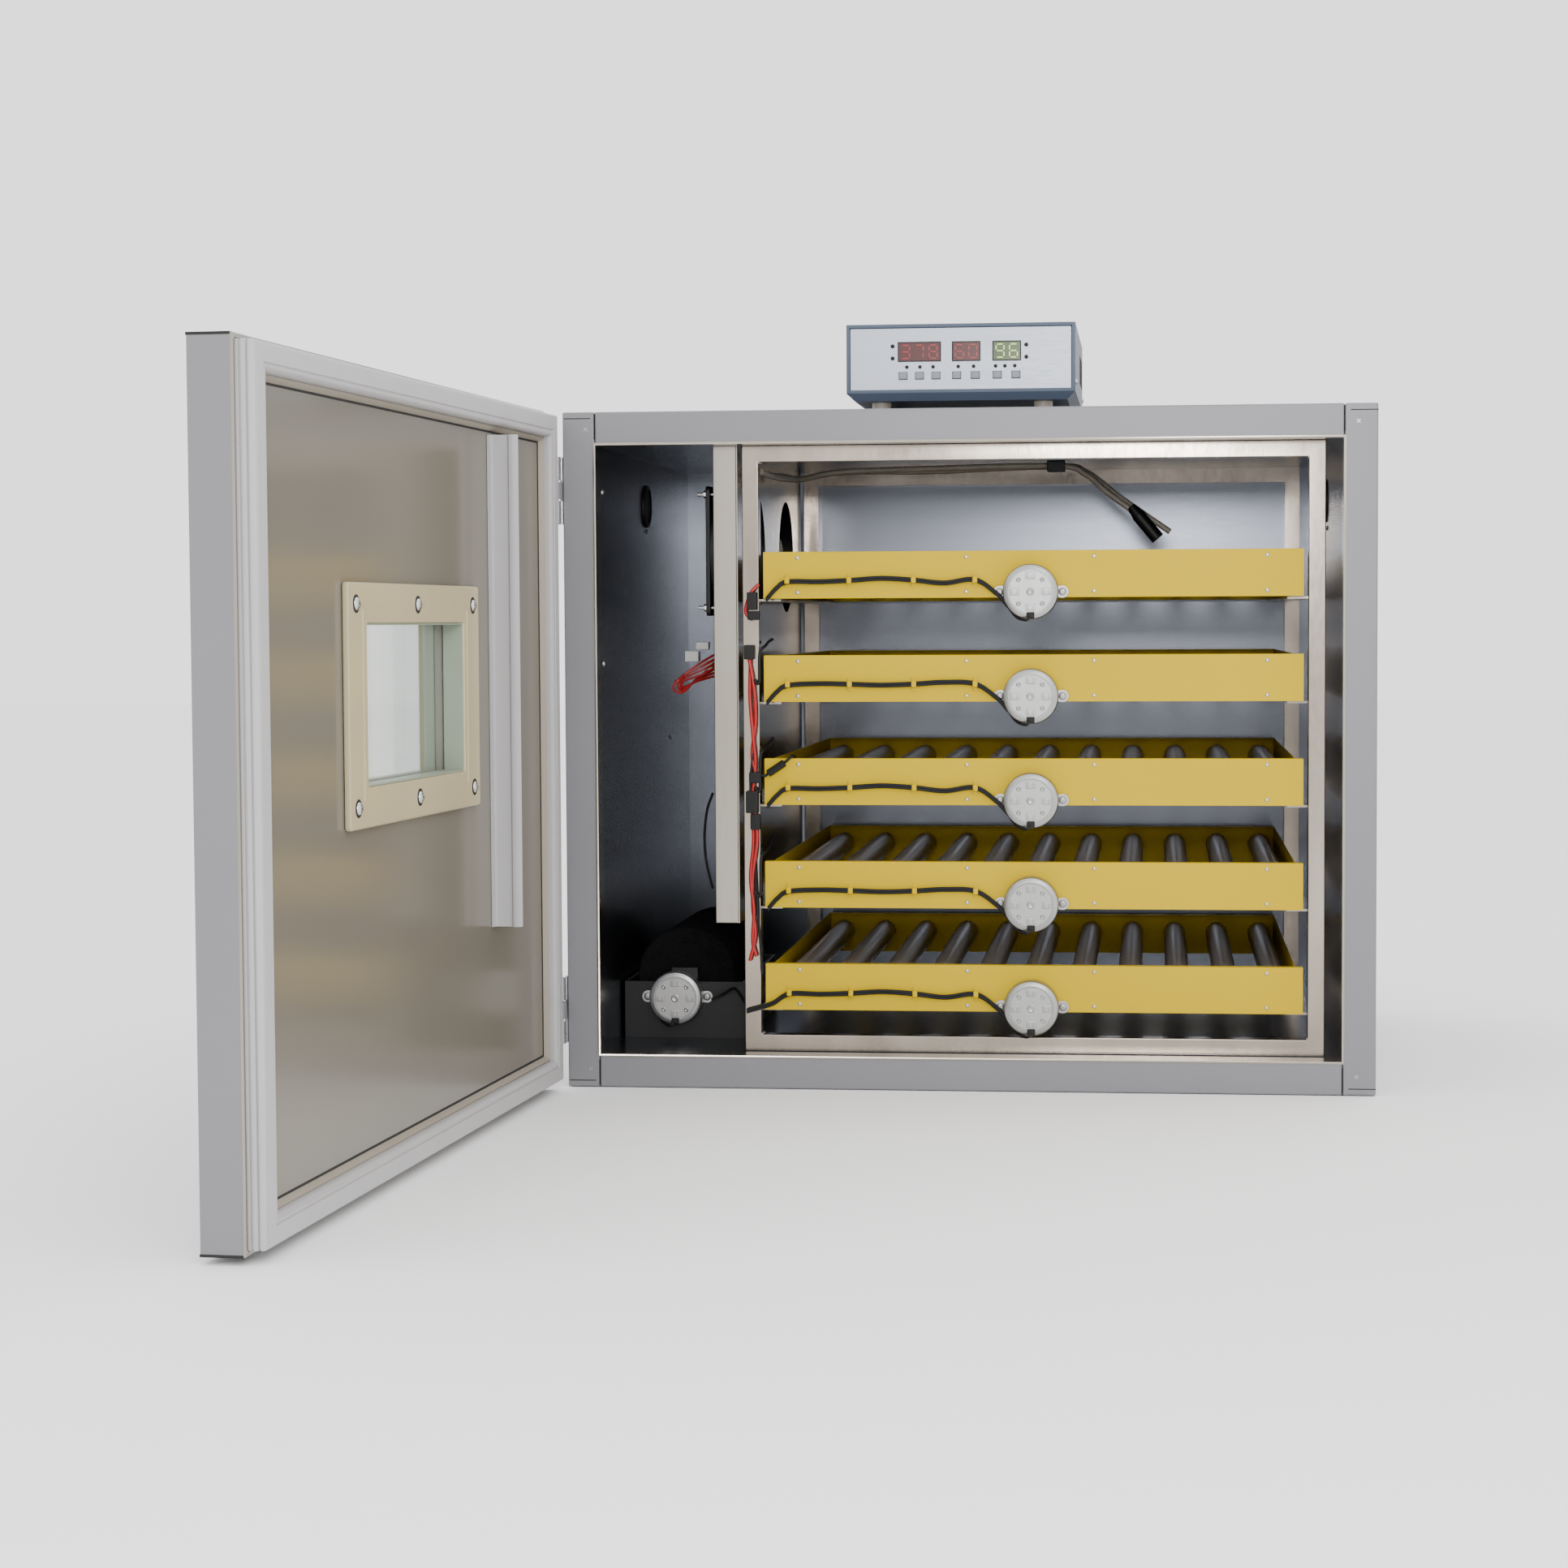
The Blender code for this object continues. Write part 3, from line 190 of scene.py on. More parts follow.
class Solid:
    """Gathers closed shapes for one piece, which rides on the body and is turned by the matrix."""

    def __init__(self, body="cabinet", matrix=None):
        self.mesh = bmesh.new()
        self.body = body
        self.matrix = matrix

    def _round(self, vertices, width, segments, least=math.radians(25)):
        edges = {edge for vertex in vertices for edge in vertex.link_edges
                 if len(edge.link_faces) == 2 and edge.calc_face_angle(0) > least}
        if width and edges:
            bmesh.ops.bevel(self.mesh, geom=list(edges), offset=width, offset_type="OFFSET",
                            segments=segments, profile=0.5, affect="EDGES", clamp_overlap=True)

    def box(self, low, high, bevel=0.0006, segments=2):
        low, high = Vector(low), Vector(high)
        matrix = Matrix.Translation((low + high) / 2) @ Matrix.Diagonal((*(high - low), 1))
        made = bmesh.ops.create_cube(self.mesh, size=1, matrix=matrix)
        self._round(made["verts"], bevel, segments)
        return self

    def rod(self, start, end, radius, sides=32, end_radius=None, bevel=0.0004, segments=2):
        start, end = Vector(start), Vector(end)
        along = end - start
        matrix = Matrix.Translation((start + end) / 2) @ along.to_track_quat("Z", "Y").to_matrix().to_4x4()
        made = bmesh.ops.create_cone(self.mesh, cap_ends=True, segments=sides, radius1=radius,
                                     radius2=radius if end_radius is None else end_radius,
                                     depth=along.length, matrix=matrix)
        self._round(made["verts"], bevel, segments, math.radians(50))
        return self

    def rings(self, loops, closed=False):
        """Skins a row of vertex loops of equal length, with capped ends unless the row is closed."""
        rows = [[self.mesh.verts.new(point) for point in loop] for loop in loops]
        count = len(rows[0])
        pairs = list(zip(rows, rows[1:] + rows[:1] if closed else rows[1:]))
        for here, there in pairs:
            for i in range(count):
                j = (i + 1) % count
                self.mesh.faces.new((here[i], here[j], there[j], there[i]))
        if not closed:
            self.mesh.faces.new(rows[0][::-1])
            self.mesh.faces.new(rows[-1])
        return self

    def tube(self, points, radius, sides=10):
        """A round tube along points, whose cross-sections turn as little as possible."""
        points = [Vector(point) for point in points]
        ahead = (points[1] - points[0]).normalized()
        side = ahead.orthogonal().normalized()
        loops = []
        for i, point in enumerate(points):
            before = points[max(i - 1, 0)]
            after = points[min(i + 1, len(points) - 1)]
            along = (after - before).normalized()
            side = (side - along * side.dot(along)).normalized()
            up = along.cross(side)
            angles = [2 * math.pi * k / sides for k in range(sides)]
            loops.append([point + radius * (side * math.cos(a) + up * math.sin(a)) for a in angles])
        return self.rings(loops)

    def cord(self, points, radius=WIRE, sides=10, origin=(0, 0, 0)):
        """A smooth tube through points given from an origin."""
        return self.tube(smooth([Vector(origin) + Vector(point) for point in points]), radius, sides)

    def lathe(self, centre, axis, profile, sides=40):
        """Turns (radius, height) points about an axis; the profile starts and ends off the axis."""
        axis = Vector(axis).normalized()
        side = axis.orthogonal().normalized()
        up = axis.cross(side)
        centre = Vector(centre)
        angles = [2 * math.pi * k / sides for k in range(sides)]
        loops = [[centre + axis * height + radius * (side * math.cos(a) + up * math.sin(a)) for a in angles]
                 for radius, height in profile]
        return self.rings(loops)

    def frame_sweep(self, low, high, base, section, inset=0.0):
        """Sweeps (inwards, y above base) points round a rectangle in the XZ plane, with mitred corners.
        The rectangle runs from low to high and is drawn in by the inset."""
        loops = []
        for inwards, rise in section:
            y = base + rise
            left, right = low[0] + inset + inwards, high[0] - inset - inwards
            bottom, top = low[2] + inset + inwards, high[2] - inset - inwards
            loops.append([(left, y, bottom), (right, y, bottom), (right, y, top), (left, y, top)])
        return self.rings(loops, closed=True)

    def plate(self, outline, holes, axis, start, thickness, bevel=0.0):
        """A flat plate with holes. The outline and the holes are rows of points in the plane of the
        other two axes; the plate runs from start along +axis."""
        curve = bpy.data.curves.new("plate", "CURVE")
        curve.dimensions = "2D"
        curve.fill_mode = "BOTH"
        curve.extrude = thickness / 2 - bevel
        curve.bevel_depth = bevel
        curve.offset = -bevel
        curve.bevel_resolution = 1
        for loop in [outline, *holes]:
            spline = curve.splines.new("POLY")
            spline.points.add(len(loop) - 1)
            spline.use_cyclic_u = True
            for target, point in zip(spline.points, loop):
                target.co = (*point, 0, 1)
        guide = bpy.data.objects.new("plate", curve)
        bpy.context.scene.collection.objects.link(guide)
        graph = bpy.context.evaluated_depsgraph_get()
        flat = bpy.data.meshes.new_from_object(guide.evaluated_get(graph))
        to_axis = {"X": Matrix(((0, 0, 1, 0), (1, 0, 0, 0), (0, 1, 0, 0), (0, 0, 0, 1))),
                   "Y": Matrix(((1, 0, 0, 0), (0, 0, 1, 0), (0, 1, 0, 0), (0, 0, 0, 1))),
                   "Z": Matrix.Identity(4)}[axis]
        shift = Matrix.Translation(Vector((0, 0, start + thickness / 2)))
        flat.transform(to_axis @ shift)
        first = len(self.mesh.verts)
        self.mesh.from_mesh(flat)
        self.mesh.verts.ensure_lookup_table()
        bmesh.ops.remove_doubles(self.mesh, verts=self.mesh.verts[first:], dist=0.00001)
        bpy.data.objects.remove(guide, do_unlink=True)
        bpy.data.meshes.remove(flat)
        return self

    def node(self, name, bevel=0.0008, segments=2):
        """A copy of a CAD node with its flat faces merged and its sharp edges rounded."""
        source = frame["nodes"][name].data
        copy = bmesh.new()
        copy.from_mesh(source)
        bmesh.ops.remove_doubles(copy, verts=copy.verts, dist=0.00001)
        bmesh.ops.dissolve_limit(copy, angle_limit=math.radians(1), verts=copy.verts, edges=copy.edges)
        edges = [edge for edge in copy.edges
                 if len(edge.link_faces) == 2 and edge.calc_face_angle(0) > math.radians(40)]
        if bevel and edges:
            bmesh.ops.bevel(copy, geom=edges, offset=bevel, offset_type="OFFSET", segments=segments,
                            profile=0.5, affect="EDGES", clamp_overlap=True)
        joined = bpy.data.meshes.new("copy")
        copy.to_mesh(joined)
        copy.free()
        self.mesh.from_mesh(joined)
        bpy.data.meshes.remove(joined)
        return self

    def piece(self, name, material, *replaced, angle=35):
        """Finishes the piece and puts it on its body, in place of the CAD nodes named last."""
        bmesh.ops.recalc_face_normals(self.mesh, faces=self.mesh.faces)
        data = bpy.data.meshes.new(name)
        self.mesh.to_mesh(data)
        self.mesh.free()
        if self.matrix is not None:
            data.transform(self.matrix)
        data.materials.append(material)
        data.shade_smooth()
        data.set_sharp_from_angle(angle=math.radians(angle))
        thing = bpy.data.objects.new(name, data)
        bpy.context.scene.collection.objects.link(thing)
        flat_faces = thing.modifiers.new("flat_faces", "WEIGHTED_NORMAL")
        flat_faces.keep_sharp = True
        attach(thing, self.body)
        if replaced:
            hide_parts(*replaced)


def circle(centre, radius, count=48):
    turn = 2 * math.pi / count
    return [(centre[0] + radius * math.cos(k * turn), centre[1] + radius * math.sin(k * turn))
            for k in range(count)]


def rectangle(low, high, radius=0.0, steps=5):
    """The corners of a rectangle, rounded if a radius is given."""
    if not radius:
        return [(low[0], low[1]), (high[0], low[1]), (high[0], high[1]), (low[0], high[1])]
    points = []
    for x, y, first in ((high[0] - radius, low[1] + radius, -90), (high[0] - radius, high[1] - radius, 0),
                        (low[0] + radius, high[1] - radius, 90), (low[0] + radius, low[1] + radius, 180)):
        for step in range(steps + 1):
            angle = math.radians(first + 90 * step / steps)
            points.append((x + radius * math.cos(angle), y + radius * math.sin(angle)))
    return points


def face(low, high, inset=0.0, radius=0.0, steps=5):
    """A rectangle in the XZ plane from low to high, drawn in by the inset."""
    return rectangle((low.x + inset, low.z + inset), (high.x - inset, high.z - inset), radius, steps)


def bar_section(width, start, end):
    """A rectangular section for frame_sweep."""
    return [(0, start), (0, end), (width, end), (width, start)]


def smooth(points, steps=8):
    """A smooth row of points through the given ones."""
    knots = [Vector(point) for point in points]
    knots = [2 * knots[0] - knots[1]] + knots + [2 * knots[-1] - knots[-2]]
    row = []
    for before, start, end, after in zip(knots, knots[1:], knots[2:], knots[3:]):
        for step in range(steps):
            t = step / steps
            row.append(0.5 * (2 * start + (end - before) * t
                              + (2 * before - 5 * start + 4 * end - after) * t ** 2
                              + (3 * start - before - 3 * end + after) * t ** 3))
    return row + [knots[-2]]


def screw(solid, place, axis, radius=0.0032):
    """A domed screw head with a small cross, its seat at place, facing along axis."""
    place, axis = Vector(place), Vector(axis).normalized()
    height = radius * 0.55
    profile = [(radius, 0)]
    for step in range(1, 6):
        angle = math.pi / 2 * step / 6
        profile.append((radius * math.cos(angle), height * math.sin(angle)))
    profile.append((radius * 0.45, height * 0.93))
    profile.append((radius * 0.30, height * 0.55))
    solid.lathe(place, axis, profile, 20)
    side = axis.orthogonal().normalized()
    for blade in (side, axis.cross(side)):
        turn = Matrix((blade, axis.cross(blade), axis)).transposed().to_4x4()
        size = Vector((radius * 1.1, radius * 0.16, radius * 0.1)) / 2
        middle = place + axis * height * 0.97
        matrix = Matrix.Translation(middle) @ turn @ Matrix.Diagonal((*(size * 2), 1))
        bmesh.ops.create_cube(solid.mesh, size=1, matrix=matrix)


# ---- Cabinet

SHEET = 0.0002
SHEET_GAP = 0.00005
VENT_RADIUS = 0.019
VENT_BAR_STEP = 0.0062


def cabinet_shell():
    """Insulated panels with rounded folds, vents with grilles and stainless inner sheets, whose stainless is
    darkened as painted shade.
    """
    for name in ("wall_top", "wall_bottom", "wall_back"):
        Solid().node(name, 0.0012).piece(f"{name}_panel", PAINT, name)
    openings = {opening["name"]: opening["box_m"] for opening in frame["record"]["physics"]["openings"]}
    vent_low, vent_high = openings["vent_left"]
    vent = ((vent_low[1] + vent_high[1]) / 2, (vent_low[2] + vent_high[2]) / 2)
    for side, name in ((-1, "wall_left"), (1, "wall_right")):
        low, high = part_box(name)
        wall = Solid().plate(rectangle((low.y, low.z), (high.y, high.z)), [circle(vent, VENT_RADIUS)],
                             "X", low.x, high.x - low.x, 0.0008)
        wall.piece(f"{name}_panel", PAINT, name)
        inner = low.x if side > 0 else high.x
        sheet_start = inner - SHEET - SHEET_GAP if side > 0 else inner + SHEET_GAP
        sheet = Solid().plate(rectangle((FRONT_Y + 0.001, low.z), (high.y - 0.03, high.z)),
                              [circle(vent, VENT_RADIUS)], "X", sheet_start, SHEET)
        sheet.piece(f"{name}_inner_sheet", SHADED_INNER_STEEL)
        outer = high.x if side > 0 else low.x
        bush = Solid()
        for start, along in ((outer, side), (inner, -side)):
            bush.lathe((start, *vent), (along, 0, 0),
                       [(0.0160, -0.012), (0.0188, -0.012), (0.0188, 0.0004), (0.0208, 0.0004),
                        (0.0208, 0.0014), (0.0200, 0.0024), (0.0170, 0.0024), (0.0160, 0.0014)], 48)
            for bar in range(-2, 3):
                z = vent[1] + bar * VENT_BAR_STEP
                reach = math.sqrt(0.0168 ** 2 - (bar * VENT_BAR_STEP) ** 2)
                inside = start - along * 0.006
                bush.box((min(inside, inside + along * 0.003), vent[0] - reach, z - 0.0011),
                         (max(inside, inside + along * 0.003), vent[0] + reach, z + 0.0011), 0.0004)
        bush.piece(f"{name}_vent", BLACK)
    left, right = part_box("wall_left")[1].x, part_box("wall_right")[0].x
    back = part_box("wall_back")[0].y
    floor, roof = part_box("wall_bottom")[1].z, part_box("wall_top")[0].z
    sheets = Solid()
    for z in (floor + SHEET_GAP, roof - SHEET_GAP - SHEET):
        sheets.box((left, FRONT_Y + 0.001, z), (right, back, z + SHEET), 0)
    sheets.piece("inner_sheets_flat", SHADED_INNER_STEEL)
    Solid().box((left, back - SHEET_GAP - SHEET, floor), (right, back - SHEET_GAP, roof), 0).piece(
        "inner_sheet_back", SHADED_INNER_STEEL)


def front_frame():
    """Four profiles with rounded edges, a bright lip round the opening, painted shade in the seams and all
    the screws.
    """
    for name in ("front_post_left", "front_post_right", "front_rail_top", "front_rail_bottom"):
        Solid().node(name, 0.0015, 3).piece(f"{name}_profile", PAINT, name)
    left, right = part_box("front_post_left")[1].x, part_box("front_post_right")[0].x
    bottom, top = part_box("front_rail_bottom")[1].z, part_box("front_rail_top")[0].z
    lip = Solid().frame_sweep((left, 0, bottom), (right, 0, top), FRONT_Y, [
        (0.0020, -0.00005), (0.0020, -0.0006), (0.0032, -0.0010), (0.0042, -0.0006), (0.0042, 0.022),
        (0.0036, 0.022), (0.0036, 0)], -0.0035)
    lip.piece("opening_lip", STAINLESS)
    # Dark strips along the joints between the profiles: painted shade in the seams.
    seams = Solid()
    low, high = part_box("front_post_left")[0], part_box("front_post_right")[1]
    strips = [(x0 + 0.0015, x1, z, z + 0.0008)
              for x0, x1 in ((low.x, left - 0.0036), (right + 0.0036, high.x))
              for z in (high.z - 0.0062, low.z + 0.0054)]
    strips += [(x - 0.0003, x + 0.0003, z0, z1) for x in (left - 0.0002, right + 0.0002)
               for z0, z1 in ((top + 0.0045, high.z - 0.002), (low.z + 0.002, bottom - 0.0045))]
    for x0, x1, z0, z1 in strips:
        seams.box((x0, FRONT_Y - 0.0002, z0), (x1, FRONT_Y + 0.001, z1), 0)
    seams.piece("profile_seam_shade", DARK_AND_PAINTED_SHADE)
    screws = Solid()
    for x in (left - 0.008, right + 0.012):
        for z in (high.z - 0.0155, low.z + 0.0165):
            screw(screws, (x, FRONT_Y + 0.0021, z), (0, -1, 0), 0.0038)
    side_low, side_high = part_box("wall_left")
    for x, along in ((side_low.x, -1), (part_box("wall_right")[1].x, 1)):
        for y in (side_low.y + 0.012, side_high.y - 0.012):
            for k in range(5):
                z = 0.045 + k * (side_high.z - 0.065) / 4
                if along < 0 and y < 0 and k in (0, 4):
                    continue
                screw(screws, (x, y, z), (along, 0, 0), 0.0028)
    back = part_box("wall_back")[1].y
    for k in range(5):
        for z in (0.0145, 0.5915):
            screw(screws, (-0.31 + 0.155 * k, back, z), (0, 1, 0), 0.0028)
    for y, z in ((-0.236, 0.536), (-0.236, 0.381), (-0.01, 0.5075), (0.12, 0.30)):
        screw(screws, (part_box("wall_left")[1].x + 0.0002, y, z), (1, 0, 0), 0.0026)
    for y in (-0.03, 0.15):
        screw(screws, (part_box("wall_right")[0].x - 0.0002, y, 0.505), (-1, 0, 0), 0.0026)
    screws.piece("cabinet_screws", ZINC)


# ---- Rack

def rack():
    """Two frames of square tube with rounded edges, and a weld bead in each front corner."""
    for side, bevel in (("front", 0.0009), ("rear", 0.0007)):
        node = f"rack_{side}_frame"
        Solid().node(node, bevel).piece(f"rack_{side}_tubes", RACK_STEEL, node)
    low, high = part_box("rack_front_frame")
    tube = 0.015
    beads = Solid()
    for x in (low.x + tube, high.x - tube):
        for z in (low.z + tube, high.z - tube):
            for k in range(7):
                y = low.y + 0.0012 + k * 0.0021
                beads.lathe((x, y, z), (0, 1, 0), [(0.0006, -0.0012), (0.0015, -0.0004), (0.0016, 0.0004),
                                                   (0.0007, 0.0013)], 10)
    beads.piece("rack_weld_beads", RACK_STEEL)


# ---- Trays

def motor_shapes(metal, dark, place, back):
    """A flat round gear motor: a stamped can with embossed pads, ears and a wire notch."""
    x, z = place
    can = 0.0247
    depth = 0.0148
    profile = [(can - 0.0012, 0.0), (can, 0.0008), (can, depth - 0.0032), (can - 0.0009, depth - 0.0012),
               (can - 0.0028, depth - 0.0002), (can - 0.0042, depth), (can - 0.0046, depth - 0.0005),
               (can - 0.0054, depth - 0.0005), (can - 0.0058, depth), (0.004, depth)]
    metal.lathe((x, back, z), (0, -1, 0), profile, 64)
    front = back - depth
    pad = 0.0042
    for turn in range(4):
        angle = math.pi / 2 * turn
        px, pz = x + 0.0142 * math.cos(angle), z + 0.0142 * math.sin(angle)
        metal.box((px - pad, front - 0.0011, pz - pad * 0.75), (px + pad, front + 0.001, pz + pad * 0.75),
                  0.0006, 2)
        for mark in (-1, 1):
            metal.box((px + mark * pad * 0.5 - 0.0007, front - 0.0016, pz - pad * 0.5),
                      (px + mark * pad * 0.5 + 0.0007, front - 0.0005, pz + pad * 0.5), 0.0003, 1)
        angle += math.pi / 4
        px, pz = x + 0.0150 * math.cos(angle), z + 0.0150 * math.sin(angle)
        metal.lathe((px, front + 0.0005, pz), (0, -1, 0),
                    [(0.0022, 0), (0.0022, 0.0009), (0.0014, 0.0014), (0.0005, 0.0009)], 16)
    metal.lathe((x, front + 0.0005, z), (0, -1, 0),
                [(0.0036, 0), (0.0036, 0.0008), (0.0026, 0.0013), (0.0008, 0.0008)], 24)
    reach, tab = 0.0278, 0.0056
    for side in (-1, 1):
        outline = [(x + side * (can - 0.004), z - 0.0046), (x + side * reach, z - tab)]
        arc = [(x + side * (reach + tab * math.sin(math.pi * k / 10)), z - tab * math.cos(math.pi * k / 10))
               for k in range(11)]
        outline = [outline[0]] + arc + [(x + side * (can - 0.004), z + 0.0046)]
        if side < 0:
            outline.reverse()
        metal.plate(outline, [], "Y", back - 0.0015, 0.0013, 0.0002)
        screw(metal, (x + side * (reach + 0.0002), back - 0.0014, z), (0, -1, 0), 0.0036)
    dark.box((x - 0.0036, front - 0.0008, z - can + 0.0008), (x + 0.0036, back - 0.003, z - can + 0.0066),
             0.0008, 2)
    dark.cord([(-0.001, -0.0012, 0.003), (-0.004, -0.0025, -0.0005), (-0.013, 0.006, 0.0025),
               (-0.021, depth - 0.003, 0.0125)], origin=(x, front, z - can))


def tray_lead(number, low, high, motor):
    """The motor's lead: through four saddles along the panel, then down past the left end."""
    saddles = [low.x + inset for inset in (0.022, 0.078, 0.136, 0.191)]
    y = low.y - 0.0034
    level = high.z - 0.026
    points = [(motor[0] - 0.0205, y, motor[1] - 0.0125), (motor[0] - 0.030, y - 0.0008, motor[1] - 0.002)]
    sag = 0.0028 if number % 2 else -0.0015
    for right, left in zip(saddles[::-1], saddles[-2::-1]):
        points.append((right, y, level))
        points.append(((right + left) / 2, y, level - sag))
        sag = -0.6 * sag
    points.append((saddles[0], y, level - 0.001))
    if number == 5:
        points += [(low.x + 0.006, y, low.z + 0.006), (low.x - 0.017, y, low.z - 0.001)]
    else:
        points += [(saddles[0] - 0.010, y, low.z + 0.009), (low.x + 0.003, y + 0.0005, low.z - 0.001)]
    pair = Solid(f"tray_{number}")
    for side in (-1, 1):
        pair.cord([Vector(point) + Vector((0, 0.0002 * side * (-1) ** k, 0.0010 * side))
                   for k, point in enumerate(points)])
    pair.piece(f"tray_{number}_lead", CABLE)
    return saddles, level


def tray(number):
    """Folded sheet panel and box, bearing bar, saddles, screws, motor and lead."""
    body = f"tray_{number}"
    low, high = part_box(body)
    sheet = 0.0012
    left, right = low.x + 0.0065, high.x - 0.0065
    shell = Solid(body)
    shell.box((low.x, low.y, low.z), (high.x, low.y + sheet, high.z), 0.0005, 2)
    for z0, z1 in ((high.z - sheet, high.z), (low.z, low.z + sheet)):
        shell.box((low.x + 0.0002, low.y + 0.0002, z0), (high.x - 0.0002, low.y + 0.009, z1), 0.0004, 2)
    for x0, x1 in ((left, left + sheet), (right - sheet, right)):
        shell.box((x0, low.y + 0.0005, low.z + 0.0003), (x1, high.y, high.z - 0.0003), 0.0004, 2)
    for x0, x1 in ((left, left + 0.006), (right - 0.006, right)):
        shell.box((x0, low.y + 0.009, low.z + 0.0003), (x1, high.y, low.z + 0.0003 + sheet), 0.0003, 1)
    shell.box((left, high.y - sheet, low.z + 0.0003), (right, high.y, high.z - 0.0003), 0.0004, 2)
    shell.box((left, high.y - 0.009, high.z - 0.0003 - sheet), (right, high.y, high.z - 0.0003), 0.0004, 2)
    bar = low.y + 0.014
    shell.box((left + sheet, bar, low.z + 0.001), (right - sheet, bar + 0.002, high.z - 0.0012), 0.0004, 2)
    screws = Solid(body)
    for x in (low.x + 0.031, low.x + 0.183, low.x + 0.297, high.x - 0.032):
        for z in (high.z - 0.0055, low.z + 0.0055):
            screw(screws, (x, low.y, z), (0, -1, 0), 0.0018)
    screws.piece(f"{body}_screws", ZINC)
    motor = ((low.x + high.x) / 2, low.z + 0.005)
    saddles, level = tray_lead(number, low, high, motor)
    for x in saddles:
        for reach, half, bevel, segments in ((0.0056, 0.0028, 0.0009, 3), (0.0008, 0.0065, 0.0003, 1)):
            shell.box((x - 0.0022, low.y - reach, level - half), (x + 0.0022, low.y + 0.0003, level + half),
                      bevel, segments)
    shell.piece(f"{body}_shell", YELLOW, body)

    metal, dark = Solid(body), Solid(body)
    motor_shapes(metal, dark, motor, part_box(f"{body}_motor")[1].y - 0.0002)
    metal.piece(f"{body}_motor_can", MOTOR, f"{body}_motor")
    dark.piece(f"{body}_motor_notch", CABLE)

    drive = Solid(body)
    for index in ROLLERS:
        x, z = roller_centre(index, high.z)
        drive.lathe((x, bar - 0.0012, z), (0, -1, 0), [(0.003, 0), (0.0085, 0.0004), (0.0085, 0.0052),
                                                       (0.0065, 0.0060), (0.003, 0.0064)], 20)
    drive.box((left + 0.006, low.y + 0.0035, high.z - 0.0315),
              (right - 0.006, low.y + 0.0062, high.z - 0.0255), 0.0005)
    drive.piece(f"{body}_drive_bar", WHITE)


def roller_centre(index, rim):
    """Where a roller's axis crosses the XZ plane, in a tray whose rim is at this height."""
    low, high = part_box(f"tray_1_roller_{index:02d}")
    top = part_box("tray_1")[1].z
    return (low.x + high.x) / 2, rim - top + (low.z + high.z) / 2


def roller_shape(solid, x, z, start, end):
    """A tube with stepped ends, on a pin that runs from start to end."""
    radius = 0.0110
    front, back = start + PIN_REACH, end - PIN_REACH
    profile = [(0.0030, 0.0), (radius - 0.0022, 0.0), (radius - 0.0012, 0.0008), (radius - 0.0012, 0.0075),
               (radius - 0.0004, 0.0083), (radius, 0.0090)]
    length = back - front
    mirrored = [(r, length - h) for r, h in profile[::-1]]
    solid.lathe((x, front, z), (0, 1, 0), profile + mirrored, 36)
    solid.rod((x, start, z), (x, end, z), PIN_RADIUS, 16)


def rollers():
    """Tray 1's rollers ride on their own bodies; the other trays carry theirs."""
    for index in ROLLERS:
        name = f"tray_1_roller_{index:02d}"
        low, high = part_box(name)
        x, z = (low.x + high.x) / 2, (low.z + high.z) / 2
        solid = Solid(f"{name}_rotor")
        roller_shape(solid, x, z, low.y, high.y)
        solid.piece(f"{name}_tube", ROLLER, name)
    for number in TRAYS[1:]:
        solid = Solid(f"tray_{number}")
        for index in ROLLERS:
            x, z = roller_centre(index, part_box(f"tray_{number}")[1].z)
            roller_shape(solid, x, z, low.y, high.y)
        solid.piece(f"tray_{number}_rollers", ROLLER)


# ---- Air partition and fans

BOLT_INSET = 0.0075
FAN_BORE = 0.0572
BLADES = 7
BLADE_ROOT = 0.0182
BLADE_TIP = 0.0528


def partition():
    """A folded sheet with a round hole behind each fan."""
    low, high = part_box("air_partition")
    right = high.x
    plate = 0.0015
    centres = [sum(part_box(f"fan_{name}_housing"), Vector()) / 2 for name in ("front", "rear")]
    holes = [circle((centre.y, centre.z), 0.056, 64) for centre in centres]
    sheet = Solid().plate(rectangle((low.y, low.z), (high.y, high.z)), holes, "X", right - plate, plate)
    sheet.box((low.x, low.y, low.z), (right - 0.0002, low.y + plate, high.z), 0.0007, 3)
    sheet.box((low.x, low.y + 0.0002, low.z), (low.x + plate, low.y + 0.010, high.z), 0.0006, 2)
    sheet.box((low.x + 0.0003, low.y - 0.0002, low.z), (right - 0.0003, low.y + 0.004, low.z + 0.0012),
              0.0005)
    sheet.piece("air_partition_sheet", STAINLESS, "air_partition")


